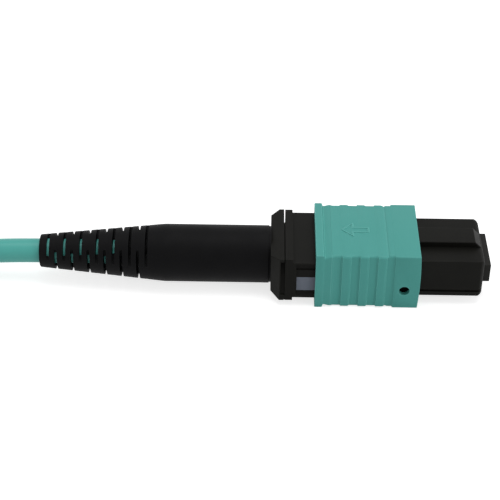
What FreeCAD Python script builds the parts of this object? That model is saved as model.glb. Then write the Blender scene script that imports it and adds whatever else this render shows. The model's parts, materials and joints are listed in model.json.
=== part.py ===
"""MPO fibre connector on a round patch cable, one stock length with a connector on each end.

The frame's origin is the centre of the near ferrule's polished end face. +X points out of the
connector towards the mating half, +Z is the side that carries the polarity key, and the cable
leaves along -X. The connector lies on the wide face of its outer sleeve, as it does on a bench.
"""

import FreeCAD, Part

import math
import os

import Sketcher

Vector = FreeCAD.Vector

doc = FreeCAD.newDocument("mpo_fibre_connector")

# ---------------------------------------------------------------- driving dimensions (mm, degrees)

DIMENSIONS = [
    ("cut_margin", 0.5, "how far a cut reaches past the face that it opens"),
    # moulded ferrule
    ("ferrule_width", 6.4, "ferrule body across the fibre row"),
    ("ferrule_height", 2.45, "ferrule body thickness"),
    ("ferrule_length", 8.0, "ferrule end face to rear face"),
    ("ferrule_proud", 1.5, "how far the ferrule stands out of the inner housing"),
    ("shoulder_width", 7.0, "ferrule shoulder across the fibre row"),
    ("shoulder_height", 3.0, "ferrule shoulder thickness"),
    ("shoulder_length", 2.0, "ferrule shoulder along the fibres"),
    ("guide_pitch", 4.6, "distance between the two guide-pin holes"),
    ("guide_bore", 0.7, "guide-pin hole diameter"),
    ("window_length", 2.0, "adhesive window along the fibres"),
    ("window_width", 3.0, "adhesive window across the fibres"),
    ("window_depth", 0.9, "adhesive window depth"),
    ("window_setback", 3.6, "end face to the adhesive window"),
    ("float_travel", 0.8, "how far the ferrule can be pushed back"),
    # small parts behind the ferrule
    ("spacer_length", 1.5, "pin spacer thickness"),
    ("ribbon_width", 3.0, "twelve-fibre ribbon width"),
    ("ribbon_height", 0.3, "twelve-fibre ribbon thickness"),
    ("ribbon_gap", 0.05, "clearance round the ribbon in its small boot"),
    ("small_boot_wall", 0.25, "side wall of the ferrule's small boot"),
    ("small_boot_height", 1.4, "ferrule's small boot thickness"),
    ("small_boot_length", 5.9, "ferrule's small boot length"),
    ("small_boot_depth", 1.4, "how deep the small boot sits in the ferrule"),
    ("ferrule_spring_width", 7.0, "oval spring, wide way"),
    ("ferrule_spring_height", 3.7, "oval spring, narrow way"),
    ("ferrule_spring_wire", 0.45, "oval spring wire diameter"),
    ("ferrule_spring_length", 4.8, "oval spring length as fitted"),
    ("ferrule_spring_coils", 4, "coils of the oval spring"),
    # inner housing
    ("nose_width", 8.7, "inner housing nose, wide way"),
    ("nose_height", 4.9, "inner housing nose, narrow way"),
    ("nose_length", 13.15, "inner housing nose length"),
    ("nose_corner", 0.4, "chamfer of the nose's long edges"),
    ("nose_lead", 0.3, "chamfer round the nose's front"),
    ("key_width", 3.0, "polarity key width"),
    ("key_height", 0.75, "polarity key height above the nose"),
    ("key_length", 12.9, "polarity key length"),
    ("key_setback", 0.1, "front of the nose to the foot of the key's ramp"),
    ("key_ramp", 0.5, "length of the key's front ramp"),
    ("rail_height", 0.5, "height of the foot rail along the nose"),
    ("rail_groove", 0.4, "width of the groove over the foot rail"),
    ("rail_groove_depth", 0.15, "depth of the groove over the foot rail"),
    ("body_width", 9.2, "inner housing body, wide way"),
    ("body_height", 5.9, "inner housing body, narrow way"),
    ("body_corner", 0.45, "chamfer of the body's long edges"),
    ("collar_width", 10.0, "collar flanges, wide way"),
    ("collar_height", 6.2, "collar flanges, narrow way"),
    ("collar_corner", 0.3, "chamfer of the collar's corners"),
    ("front_collar", 1.0, "thickness of the inner housing's collar"),
    ("collar_setback", 23.9, "end face to the front of the collar"),
    ("seat_bore_width", 7.6, "housing bore for spring and back body, wide way"),
    ("seat_bore_height", 4.2, "housing bore for spring and back body, narrow way"),
    ("neck_bore_width", 6.7, "narrower housing bore between the coupling springs"),
    ("neck_start", 14.6, "end face to the narrower bore"),
    ("neck_end", 22.0, "end face to the rear of the narrower bore"),
    ("shoulder_bore_gap", 0.1, "clearance round the ferrule shoulder"),
    ("ferrule_gap", 0.05, "clearance round the ferrule body"),
    ("shoulder_bore_end", 9.0, "end face to the rear of the shoulder's bore"),
    ("channel_depth", 0.9, "depth of each coupling-spring channel"),
    ("channel_height", 1.0, "height of each coupling-spring channel"),
    ("channel_front", 15.1, "end face to the front end of a channel"),
    ("channel_rear", 21.0, "end face to the rear end of a channel"),
    ("mark_recess_depth", 0.45, "depth of the marked recess in the body's side"),
    ("mark_recess_height", 4.2, "height of the marked recess"),
    ("mark_recess_drop", 0.25, "centre of the marked recess under the axis"),
    ("mark_recess_end", 23.45, "end face to the rear of the marked recess"),
    ("latch_window_length", 1.8, "snap window along the axis"),
    ("latch_window_width", 2.6, "snap window across"),
    ("latch_window_setback", 17.4, "end face to the snap window"),
    ("latch_gap", 0.1, "clearance of the snap hooks in their windows"),
    # back body that closes the housing and carries the crimp
    ("tube_gap", 0.05, "clearance round the back body's tube"),
    ("tube_front", 14.3, "end face to the front of the back body"),
    ("tube_passage_width", 4.6, "passage for ribbon and small boot, wide way"),
    ("tube_passage_height", 2.0, "passage for ribbon and small boot, narrow way"),
    ("collar_gap", 0.23, "open gap between the two collars"),
    ("side_gap_depth", 0.5, "extra notch of the back collar at the narrow sides"),
    ("side_gap_height", 4.3, "height of that notch"),
    ("back_collar", 1.42, "thickness of the back body's collar"),
    ("back_collar_chamfer", 1.05, "rear chamfer of the back collar's narrow sides"),
    ("barrel_radius", 2.1, "crimp barrel radius"),
    ("barrel_bore", 1.4, "crimp barrel bore radius"),
    ("barrel_length", 5.5, "crimp barrel length"),
    ("yarn_wall", 0.25, "aramid yarn layer under the crimp ring"),
    ("yarn_start", 0.9, "collar to the front end of the yarn"),
    ("crimp_wall", 0.4, "crimp ring wall"),
    ("crimp_start", 0.8, "collar to the front of the crimp ring"),
    ("crimp_step", 0.6, "end of the barrel to the crimp ring's smaller end"),
    ("crimp_tail", 2.5, "length of the crimp ring's smaller end"),
    # outer coupling sleeve
    ("sleeve_side_wall", 0.75, "outer sleeve wall at the narrow sides of the body"),
    ("sleeve_top_wall", 0.85, "outer sleeve wall at the wide sides of the body"),
    ("sleeve_length", 12.45, "outer sleeve length"),
    ("sleeve_setback", 8.75, "end face to the front of the sleeve"),
    ("sleeve_corner", 0.3, "chamfer of the sleeve's long edges"),
    ("sleeve_travel", 2.0, "how far the sleeve pulls back"),
    ("sleeve_gap", 0.05, "running clearance of the sleeve on the body"),
    ("mouth_side_gap", 0.2, "front opening round the body, at its narrow sides"),
    ("mouth_top_gap", 0.3, "front opening round the body, at its wide sides"),
    ("mouth_depth", 7.2, "depth of the front opening"),
    ("grip_front", 2.95, "plain front band of the sleeve"),
    ("grip_lip", 0.77, "raised rear lip of the sleeve"),
    ("grip_side_depth", 0.12, "how far the grip is set back on the narrow sides"),
    ("grip_top_depth", 0.12, "how far the grip is set back on the wide sides"),
    ("groove_pitch", 2.11, "pitch of the grip grooves"),
    ("groove_length", 0.95, "length of one grip groove"),
    ("groove_flat", 0.45, "flat floor of one grip groove"),
    ("groove_depth", 0.1, "depth of one grip groove"),
    ("groove_count", 4, "grip grooves on each narrow side"),
    ("panel_length", 7.5, "recessed name panel along the axis"),
    ("panel_width", 6.6, "recessed name panel across"),
    ("panel_depth", 0.06, "depth of the name panel"),
    ("panel_setback", 0.4, "rear lip to the name panel"),
    ("side_hole", 1.25, "diameter of the hole in each narrow side"),
    ("side_hole_setback", 1.5, "sleeve front to the hole"),
    ("side_hole_drop", 1.2, "hole centre under the axis"),
    ("lug_length", 0.8, "sleeve lug that pushes on a coupling spring"),
    ("lug_height", 0.8, "height of that lug"),
    ("lug_gap", 0.1, "lug to the floor of its channel"),
    ("lug_root", 0.1, "how deep the lug's foot sits in the sleeve's wall"),
    # coupling springs
    ("coupling_wire", 0.15, "coupling spring wire diameter"),
    ("coupling_diameter", 0.8, "coupling spring outer diameter"),
    ("coupling_coils", 5, "coils of a coupling spring"),
    # strain-relief boot
    ("boot_gap", 0.27, "open groove between back collar and boot"),
    ("boot_radius", 3.475, "boot barrel radius"),
    ("boot_barrel", 12.7, "length of the boot's plain barrel"),
    ("boot_taper", 15.1, "length of the boot's tapered, finned part"),
    ("boot_tail_radius", 2.04, "boot radius at the tail"),
    ("boot_edge", 0.3, "rounding of the boot's two ends"),
    ("boot_seat_gap", 0.1, "boot bore over the crimp ring"),
    ("boot_seat_depth", 9.0, "depth of the wide bore over the crimp ring"),
    ("boot_cable_gap", 0.1, "boot bore over the cable"),
    ("slot_length", 0.4, "length of one slot along the axis"),
    ("slot_pitch", 2.03, "pitch of the slots of one kind"),
    ("wide_slot_start", 1.0, "tail to the first slot that leaves the side bridges"),
    ("flat_slot_start", 2.115, "tail to the first slot that leaves the top and bottom bridges"),
    ("wide_slots", 7, "slots that leave the side bridges"),
    ("flat_slots", 6, "slots that leave the top and bottom bridges"),
    ("side_bridge", 1.2, "half height of the side bridges"),
    ("top_bridge", 1.15, "half width of the top and bottom bridges"),
    ("boot_clocking", 22, "turn of the slot pattern about the axis"),
    # cable
    ("cable_diameter", 3.0, "cable outer diameter"),
    ("cable_stretch", 28.0, "boot tail to the start of the hank's first run"),
    ("lead_straight", 7.5, "boot tail to where the cable starts down to the bench"),
    ("lead_drop", 10.0, "length over which the cable comes down to the bench"),
    ("hank_run", 48.0, "straight run of the hank"),
    ("hank_bend", 12.0, "bend radius of the hank's outer turns"),
    ("hank_layers", 4, "layers of turns in the hank"),
    ("tie_thickness", 0.5, "thickness of the hank's ties"),
    ("tie_width", 6.0, "width of the hank's tie"),
    ("tie_gap", 0.05, "tie round the hank"),
    ("tie_setback", 4.0, "start of the hank's runs to the front tie"),
    ("far_offset", 1.5, "far connector's axis beside the hank's first run"),
    ("far_setback", 1.0, "start of the hank's runs to the far boot's tail"),
]

# Stations and shared sizes that follow from the driving dimensions. A station is an X position.
STATIONS = [
    ("nose_front", "-Dimensions.ferrule_proud"),
    ("nose_rear", "nose_front - Dimensions.nose_length"),
    ("shoulder_front", "-Dimensions.ferrule_length + Dimensions.shoulder_length"),
    ("ferrule_rear", "-Dimensions.ferrule_length"),
    ("spacer_rear", "ferrule_rear - Dimensions.spacer_length"),
    ("tube_front", "-Dimensions.tube_front"),
    ("collar_front", "-Dimensions.collar_setback"),
    ("collar_rear", "collar_front - Dimensions.front_collar"),
    ("back_front", "collar_rear - Dimensions.collar_gap"),
    ("back_rear", "back_front - Dimensions.back_collar"),
    ("barrel_rear", "back_rear - Dimensions.barrel_length"),
    ("sleeve_front", "-Dimensions.sleeve_setback"),
    ("sleeve_rear", "sleeve_front - Dimensions.sleeve_length"),
    ("sleeve_bore_width", "Dimensions.body_width + 2 * Dimensions.sleeve_gap"),
    ("sleeve_bore_height", "Dimensions.body_height + 2 * Dimensions.sleeve_gap"),
    ("sleeve_width", "sleeve_bore_width + 2 * Dimensions.sleeve_side_wall"),
    ("sleeve_height", "sleeve_bore_height + 2 * Dimensions.sleeve_top_wall"),
    ("mouth_width", "Dimensions.body_width + 2 * Dimensions.mouth_side_gap"),
    ("mouth_height", "Dimensions.body_height + 2 * Dimensions.mouth_top_gap"),
    ("mouth_rear", "sleeve_front - Dimensions.mouth_depth"),
    ("grip_front", "sleeve_front - Dimensions.grip_front"),
    ("grip_rear", "sleeve_rear + Dimensions.grip_lip"),
    ("lug_front", "-Dimensions.channel_front"),
    ("lug_rear", "lug_front - Dimensions.lug_length"),
    ("channel_rear", "-Dimensions.channel_rear"),
    ("boot_front", "back_rear - Dimensions.boot_gap"),
    ("boot_shoulder", "boot_front - Dimensions.boot_barrel"),
    ("boot_tail", "boot_shoulder - Dimensions.boot_taper"),
    ("boot_seat_end", "boot_front - Dimensions.boot_seat_depth"),
    ("crimp_front", "back_rear - Dimensions.crimp_start"),
    ("crimp_neck", "barrel_rear - Dimensions.crimp_step"),
    ("crimp_rear", "crimp_neck - Dimensions.crimp_tail"),
    ("yarn_radius", "Dimensions.barrel_radius + Dimensions.yarn_wall"),
    ("crimp_radius", "yarn_radius + Dimensions.crimp_wall"),
    ("cable_radius", "Dimensions.cable_diameter / 2"),
    ("bore_width", "Dimensions.shoulder_width + 2 * Dimensions.shoulder_bore_gap"),
    ("bore_height", "Dimensions.shoulder_height + 2 * Dimensions.shoulder_bore_gap"),
    ("spring_front", "spacer_rear"),
    ("spring_seat", "tube_front"),
    ("neck_tube_width", "Dimensions.neck_bore_width - 2 * Dimensions.tube_gap"),
    ("seat_tube_width", "Dimensions.seat_bore_width - 2 * Dimensions.tube_gap"),
    ("tube_height", "Dimensions.seat_bore_height - 2 * Dimensions.tube_gap"),
    ("ribbon_slot_width", "Dimensions.ribbon_width + 2 * Dimensions.ribbon_gap"),
    ("ribbon_slot_height", "Dimensions.ribbon_height + 2 * Dimensions.ribbon_gap"),
    ("small_boot_width", "ribbon_slot_width + 2 * Dimensions.small_boot_wall"),
    ("floor_level", "-sleeve_height / 2"),
    ("hank_base", "floor_level + Dimensions.tie_thickness + Dimensions.tie_gap"),
    ("hank_height", "Dimensions.hank_layers * Dimensions.cable_diameter"),
    ("hank_start", "boot_tail - Dimensions.cable_stretch"),
    ("hank_end", "hank_start - Dimensions.hank_run"),
    ("hank_radius", "Dimensions.hank_bend + cable_radius"),
    ("tie_top", "hank_base + hank_height + Dimensions.tie_gap + Dimensions.tie_thickness"),
    ("far_axis", "tie_top + Dimensions.tie_gap + sleeve_height / 2"),
    ("far_tail", "hank_start - Dimensions.far_setback"),
    ("far_face", "far_tail + boot_tail"),
    ("front_tie", "hank_start - Dimensions.tie_setback - Dimensions.tie_width / 2"),
    ("rear_tie", "far_face + Dimensions.sleeve_setback + Dimensions.sleeve_length / 2"),
]


def fill(sheet, rows, formula):
    """Writes one row of the sheet for each alias: its note beside its value or formula."""
    for row, entry in enumerate(rows, start=1):
        alias, value = entry[0], entry[1]
        sheet.set(f"A{row}", entry[2] if len(entry) > 2 else alias.replace("_", " "))
        sheet.set(f"B{row}", f"={value}" if formula else str(value))
        sheet.setAlias(f"B{row}", alias)
        doc.recompute([sheet])


dimensions = doc.addObject("Spreadsheet::Sheet", "Dimensions")
fill(dimensions, DIMENSIONS, formula=False)
stations = doc.addObject("Spreadsheet::Sheet", "Stations")
fill(stations, STATIONS, formula=True)

D = "Dimensions."
S = "Stations."
COIL_SIDES = 6  # straight runs in one coil of a fine round spring
TURN_SIDES = 12  # straight runs in the hank's last half turn
SAME = 1e-4  # two positions closer than this are the same
CORD_SIDES = 10  # sides of the plain cord solids


def station(name):
    """The present value of a station, as a plain number."""
    return float(stations.get(name))


def dimension(name):
    """The present value of a driving dimension, as a plain number."""
    return float(dimensions.get(name))


# ---------------------------------------------------------------- building helpers


def new_body(label):
    """An empty PartDesign body with that label."""
    body = doc.addObject("PartDesign::Body", label)
    body.Label = label
    return body


def block(body, name, back, front, width, height, y="0", z="0", cut=False):
    """A block along the axis from X = back to X = front, centred on (y, z), added or cut."""
    kind = "PartDesign::SubtractiveBox" if cut else "PartDesign::AdditiveBox"
    feature = body.newObject(kind, f"{body.Name}_{name}")
    feature.setExpression("Length", f"({front}) - ({back})")
    feature.setExpression("Width", width)
    feature.setExpression("Height", height)
    feature.setExpression("Placement.Base.x", back)
    feature.setExpression("Placement.Base.y", f"({y}) - ({width}) / 2")
    feature.setExpression("Placement.Base.z", f"({z}) - ({height}) / 2")
    return feature


def rod(body, name, back, front, radius, y="0", z="0", cut=False):
    """A round bar along the axis from X = back to X = front, added or cut."""
    kind = "PartDesign::SubtractiveCylinder" if cut else "PartDesign::AdditiveCylinder"
    feature = body.newObject(kind, f"{body.Name}_{name}")
    feature.Placement = FreeCAD.Placement(Vector(), FreeCAD.Rotation(Vector(0, 1, 0), 90))
    feature.setExpression("Radius", radius)
    feature.setExpression("Height", f"({front}) - ({back})")
    feature.setExpression("Placement.Base.x", back)
    feature.setExpression("Placement.Base.y", y)
    feature.setExpression("Placement.Base.z", z)
    return feature


def edges_of(feature, wanted):
    """Names of the feature's edges for which wanted(edge) holds."""
    doc.recompute()
    return [f"Edge{i}" for i, edge in enumerate(feature.Shape.Edges, start=1) if wanted(edge)]


def is_long_edge(edge, width, height, least=0.5):
    """Whether the edge runs along X on an outer corner of a width by height block."""
    first, last = edge.Vertexes[0].Point, edge.Vertexes[-1].Point
    along = abs(first.x - last.x) > least and abs(first.y - last.y) + abs(first.z - last.z) < SAME
    corner = abs(abs(first.y) - width / 2) < SAME and abs(abs(first.z) - height / 2) < SAME
    return along and corner


def chamfer(body, name, edges, size):
    """A chamfer of that size on the named edges of the body as it is so far."""
    base = body.Tip
    feature = body.newObject("PartDesign::Chamfer", f"{body.Name}_{name}")
    feature.Base = (base, edges)
    feature.setExpression("Size", size)
    return feature


def chamfer_long_edges(body, part, width, height):
    """Chamfers the four long outer edges of the part, which is width by height."""
    corner = (float_of(width), float_of(height))
    edges = edges_of(body.Tip, lambda edge: is_long_edge(edge, *corner))
    return chamfer(body, f"{part}_edges", edges, f"{D}{part}_corner")


def plane_of(body, role):
    """The body's own origin plane or axis with that role."""
    return next(item for item in body.Origin.OriginFeatures if item.Role == role)


def sketch_on(body, role, name, turn=None):
    """An empty sketch on one of the body's origin planes, turned about X where turn is given."""
    sketch = body.newObject("Sketcher::SketchObject", f"{body.Name}_{name}")
    sketch.AttachmentSupport = (plane_of(body, role), [""])
    sketch.MapMode = "FlatFace"
    if turn:
        sketch.AttachmentOffset = FreeCAD.Placement(Vector(), FreeCAD.Rotation(Vector(1, 0, 0), 1))
        sketch.setExpression("AttachmentOffset.Rotation.Angle", turn)
    return sketch


def outline(sketch, corners):
    """A closed outline of straight sides whose corners follow their (across, up) formulas.

    Each formula is bound to a distance from the sketch's origin, so the outline moves with the
    sheet. A formula's present value says on which side of the origin its corner lies.
    """
    points = [Vector(float_of(across), float_of(up), 0) for across, up in corners]
    first = len(sketch.Geometry)
    for start, end in zip(points, points[1:] + points[:1]):
        sketch.addGeometry(Part.LineSegment(start, end), False)
    count = len(points)
    for i in range(count):
        sketch.addConstraint(
            Sketcher.Constraint("Coincident", first + i, 2, first + (i + 1) % count, 1)
        )
    for i, (point, (across, up)) in enumerate(zip(points, corners)):
        for kind, value, formula in (("DistanceX", point.x, across), ("DistanceY", point.y, up)):
            index = sketch.addConstraint(Sketcher.Constraint(kind, -1, 1, first + i, 1, value))
            sketch.setExpression(f"Constraints[{index}]", formula)
    return sketch


def float_of(formula):
    """The present value of a formula, read from a scratch cell that is cleared again."""
    stations.set("D1", f"={formula}")
    doc.recompute([stations])
    value = float(stations.get("D1"))
    stations.clear("D1")
    return value


def chamfered_block(body, name, back, front, width, height, corner):
    """A block along the axis from X = back to X = front with its long edges chamfered."""
    section = sketch_on(body, "YZ_Plane", f"{name}_section")
    section.setExpression("AttachmentOffset.Base.z", back)
    half, half_up = f"({width}) / 2", f"({height}) / 2"
    inner, inner_up = f"({half} - {corner})", f"({half_up} - {corner})"
    outline(section, [
        (inner, half_up), (half, inner_up), (half, f"-{inner_up}"), (inner, f"-{half_up}"),
        (f"-{inner}", f"-{half_up}"), (f"-{half}", f"-{inner_up}"), (f"-{half}", inner_up),
        (f"-{inner}", half_up),
    ])
    pad = body.newObject("PartDesign::Pad", f"{body.Name}_{name}")
    pad.Profile = section
    pad.setExpression("Length", f"({front}) - ({back})")
    doc.recompute()
    return pad


def pattern_along_x(body, name, feature, pitch, count, rearward=False):
    """Repeats a feature along the axis, at that pitch, towards +X or rearward."""
    pattern = body.newObject("PartDesign::LinearPattern", f"{body.Name}_{name}")
    pattern.Originals = [feature]
    pattern.Direction = (plane_of(body, "X_Axis"), [""])
    pattern.Reversed = rearward
    pattern.setExpression("Length", f"({pitch}) * (({count}) - 1)")
    pattern.setExpression("Occurrences", count)
    body.Tip = pattern
    return pattern


# ---------------------------------------------------------------- ferrule and what floats with it


def make_ferrule():
    """The moulded ferrule: body, shoulder, two guide holes, adhesive window, pocket for its boot."""
    body = new_body("mt_ferrule")
    block(body, "front", S + "ferrule_rear", "0", D + "ferrule_width", D + "ferrule_height")
    block(body, "shoulder", S + "ferrule_rear", S + "shoulder_front",
          D + "shoulder_width", D + "shoulder_height")
    block(body, "window", f"-{D}window_setback - {D}window_length", f"-{D}window_setback",
          D + "window_width", f"{D}window_depth + {D}cut_margin",
          z=f"({D}ferrule_height - {D}window_depth + {D}cut_margin) / 2", cut=True)
    block(body, "pocket", S + "ferrule_rear", f"{S}ferrule_rear + {D}small_boot_depth",
          S + "small_boot_width", D + "small_boot_height", cut=True)
    for side in (-1, 1):
        rod(body, f"guide_{side + 1}", S + "ferrule_rear", "0", D + "guide_bore / 2",
            y=f"{side} * {D}guide_pitch / 2", cut=True)
    return body


def make_spacer():
    """The plate between ferrule and spring, open in the middle for the small boot."""
    body = new_body("pin_spacer")
    block(body, "plate", S + "spacer_rear", S + "ferrule_rear",
          D + "shoulder_width", D + "shoulder_height")
    block(body, "opening", S + "spacer_rear", S + "ferrule_rear",
          f"{S}small_boot_width + 2 * {D}ribbon_gap", f"{D}small_boot_height + 2 * {D}ribbon_gap",
          cut=True)
    return body


def make_small_boot():
    """The soft sleeve that guides the ribbon into the ferrule."""
    body = new_body("ferrule_boot")
    front = f"{S}ferrule_rear + {D}small_boot_depth"
    back = f"{front} - {D}small_boot_length"
    block(body, "sleeve", back, front, S + "small_boot_width", D + "small_boot_height")
    block(body, "slot", back, front, S + "ribbon_slot_width", S + "ribbon_slot_height", cut=True)
    return body


def make_ribbon():
    """The bare fibre ribbon from inside the ferrule's boot to the end of the cable jacket."""
    body = new_body("fibre_ribbon")
    block(body, "ribbon", S + "crimp_neck", f"{S}ferrule_rear - {D}float_travel - {D}ribbon_gap",
          D + "ribbon_width", D + "ribbon_height")
    return body


def ring_of_corners(centre, heading, radius, sides):
    """A closed wire of that many equal sides round the centre, square to the heading."""
    ring = Part.Circle(centre, heading, radius)
    corners = [ring.value(2 * math.pi * i / sides) for i in range(sides)]
    return Part.makePolygon(corners + corners[:1])


def wound_wire(label, points, wire, sides=4):
    """Mitred wire along the points, with a section of few sides to keep it light."""
    section = ring_of_corners(points[0], points[1] - points[0], wire / 2, sides)
    feature = doc.addObject("Part::Feature", label)
    feature.Shape = Part.makePolygon(points).makePipeShell([section], True, False, 1)
    feature.Label = label
    return feature


def make_ferrule_spring():
    """The oval spring between spacer and back body, wound round a stadium-shaped core."""
    wire = dimension("ferrule_spring_wire")
    width = dimension("ferrule_spring_width") - wire
    height = dimension("ferrule_spring_height") - wire
    front = station("spring_front") - wire / 2
    back = station("spring_seat") + wire / 2
    coils = int(dimension("ferrule_spring_coils"))
    radius = height / 2
    half = width / 2 - radius
    turns = [-60, 0, 60]
    lap = [(half + radius * math.cos(math.radians(a)), -radius * math.sin(math.radians(a)))
           for a in [-90] + turns + [90]]
    lap += [(-y, -z) for y, z in lap]
    count = coils * len(lap)
    points = [
        Vector(front - (front - back) * i / count, *lap[i % len(lap)]) for i in range(count + 1)
    ]
    return wound_wire("ferrule_spring", points, wire)


def make_coupling_spring(side_name, side):
    """One fine spring in its side channel, between the sleeve's lug and the channel's rear end."""
    wire = dimension("coupling_wire")
    radius = (dimension("coupling_diameter") - wire) / 2
    front = station("lug_rear") - wire / 2
    back = station("channel_rear") + wire / 2
    centre = side * (dimension("body_width") - dimension("channel_depth")) / 2
    count = int(dimension("coupling_coils")) * COIL_SIDES
    points = []
    for i in range(count + 1):
        angle = 2 * math.pi * i / COIL_SIDES
        x = front - (front - back) * i / count
        points.append(Vector(x, centre + radius * math.cos(angle), radius * math.sin(angle)))
    return wound_wire(f"coupling_spring_{side_name}", points, wire)


# ---------------------------------------------------------------- inner housing and back body


def make_housing():
    """The inner housing: nose with key, body with spring channels, collar, bore right through."""
    body = new_body("inner_housing")
    block(body, "nose", S + "nose_rear", S + "nose_front", D + "nose_width", D + "nose_height")
    chamfer_long_edges(body, "nose", D + "nose_width", D + "nose_height")
    front_x = station("nose_front")
    lead = edges_of(
        body.Tip, lambda edge: all(abs(v.X - front_x) < SAME for v in edge.Vertexes)
    )
    chamfer(body, "lead", lead, D + "nose_lead")
    key = sketch_on(body, "XZ_Plane", "key_profile")
    top = f"{D}nose_height / 2 + {D}key_height"
    front = f"{S}nose_front - {D}key_setback"
    outline(key, [
        (f"{front} - {D}key_length", "0"),
        (f"{front} - {D}key_length", top),
        (f"{front} - {D}key_ramp", top),
        (front, f"{D}nose_height / 2"),
        (front, "0"),
    ])
    pad = body.newObject("PartDesign::Pad", "inner_housing_key")
    pad.Profile = key
    pad.Midplane = True
    pad.setExpression("Length", D + "key_width")
    doc.recompute()
    chamfered_block(body, "body", S + "collar_front", S + "nose_rear",
                    D + "body_width", D + "body_height", D + "body_corner")
    chamfered_block(body, "collar", S + "collar_rear", S + "collar_front",
                    D + "collar_width", D + "collar_height", D + "collar_corner")
    for side in (-1, 1):
        block(body, f"rail_groove_{side + 1}", S + "nose_rear", S + "nose_front",
              D + "rail_groove_depth", D + "rail_groove",
              y=f"{side} * ({D}nose_width - {D}rail_groove_depth) / 2",
              z=f"({D}rail_groove - {D}nose_height) / 2 + {D}rail_height", cut=True)
    # bores, from the mating end to the rear
    block(body, "window", S + "shoulder_front", S + "nose_front",
          f"{D}ferrule_width + 2 * {D}ferrule_gap", f"{D}ferrule_height + 2 * {D}ferrule_gap", cut=True)
    block(body, "shoulder_bore", f"-{D}shoulder_bore_end", S + "shoulder_front",
          S + "bore_width", S + "bore_height", cut=True)
    block(body, "spring_bore", f"-{D}neck_start", f"-{D}shoulder_bore_end",
          D + "seat_bore_width", D + "seat_bore_height", cut=True)
    block(body, "neck_bore", f"-{D}neck_end", f"-{D}neck_start",
          D + "neck_bore_width", D + "seat_bore_height", cut=True)
    block(body, "rear_bore", S + "collar_rear", f"-{D}neck_end",
          D + "seat_bore_width", D + "seat_bore_height", cut=True)
    for side in (-1, 1):
        block(body, f"channel_{side + 1}", S + "channel_rear", S + "lug_front",
              D + "channel_depth", D + "channel_height",
              y=f"{side} * ({D}body_width - {D}channel_depth) / 2", cut=True)
        block(body, f"mark_recess_{side + 1}", f"-{D}mark_recess_end", S + "channel_rear",
              D + "mark_recess_depth", D + "mark_recess_height",
              y=f"{side} * ({D}body_width - {D}mark_recess_depth) / 2",
              z=f"-{D}mark_recess_drop", cut=True)
    block(body, "latch_windows", f"-{D}latch_window_setback - {D}latch_window_length",
          f"-{D}latch_window_setback", D + "latch_window_width", D + "body_height", cut=True)
    return body


def make_back_body():
    """The back body: stepped tube, snap hooks, collar with chamfered rear and the crimp barrel."""
    body = new_body("back_body")
    block(body, "neck", f"-{D}neck_end - {D}tube_gap", S + "tube_front",
          S + "neck_tube_width", S + "tube_height")
    block(body, "seat", S + "back_front", f"-{D}neck_end - {D}tube_gap",
          S + "seat_tube_width", S + "tube_height")
    hook_height = f"({D}body_height + {S}tube_height) / 2 - {D}latch_gap"
    block(body, "hooks", f"-{D}latch_window_setback - {D}latch_window_length + {D}latch_gap",
          f"-{D}latch_window_setback - {D}latch_gap",
          f"{D}latch_window_width - 2 * {D}latch_gap", hook_height)
    collar = sketch_on(body, "XY_Plane", "collar_profile")
    half = f"{D}collar_width / 2"
    small = f"{half} - {D}back_collar_chamfer"
    corners = [
        (S + "back_front", half),
        (f"{S}back_rear + {D}back_collar_chamfer", half),
        (S + "back_rear", small),
        (S + "back_rear", f"-({small})"),
        (f"{S}back_rear + {D}back_collar_chamfer", f"-({half})"),
        (S + "back_front", f"-({half})"),
    ]
    outline(collar, corners)
    pad = body.newObject("PartDesign::Pad", "back_body_collar")
    pad.Profile = collar
    pad.Midplane = True
    pad.setExpression("Length", D + "collar_height")
    doc.recompute()
    for side in (-1, 1):
        block(body, f"notch_{side + 1}", f"{S}back_front - {D}side_gap_depth", S + "back_front",
              f"({D}collar_width - {S}seat_tube_width) / 2", D + "side_gap_height",
              y=f"{side} * ({D}collar_width + {S}seat_tube_width) / 4", cut=True)
    rod(body, "barrel", S + "barrel_rear", S + "back_rear", D + "barrel_radius")
    rod(body, "bore", S + "barrel_rear", S + "back_front", D + "barrel_bore", cut=True)
    block(body, "passage", S + "back_front", S + "tube_front",
          D + "tube_passage_width", D + "tube_passage_height", cut=True)
    block(body, "ribbon_way", S + "barrel_rear", S + "back_front",
          f"{D}ribbon_width + 4 * {D}ribbon_gap", f"{D}ribbon_height + 4 * {D}ribbon_gap", cut=True)
    return body


def make_yarn():
    """The aramid yarn folded back over the crimp barrel."""
    body = new_body("aramid_yarn")
    front = f"{S}back_rear - {D}yarn_start"
    rod(body, "layer", S + "barrel_rear", front, S + "yarn_radius")
    rod(body, "inside", S + "barrel_rear", front, D + "barrel_radius", cut=True)
    return body


def make_crimp_ring():
    """The stepped crimp ring: over the yarn in front, over the cable jacket behind."""
    body = new_body("crimp_ring")
    rod(body, "large", S + "crimp_neck", S + "crimp_front", S + "crimp_radius")
    rod(body, "small", S + "crimp_rear", S + "crimp_neck", f"{S}cable_radius + {D}crimp_wall")
    rod(body, "yarn_bore", S + "barrel_rear", S + "crimp_front", S + "yarn_radius", cut=True)
    rod(body, "cable_bore", S + "crimp_rear", S + "barrel_rear", S + "cable_radius", cut=True)
    return body


# ---------------------------------------------------------------- outer sleeve


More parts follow.
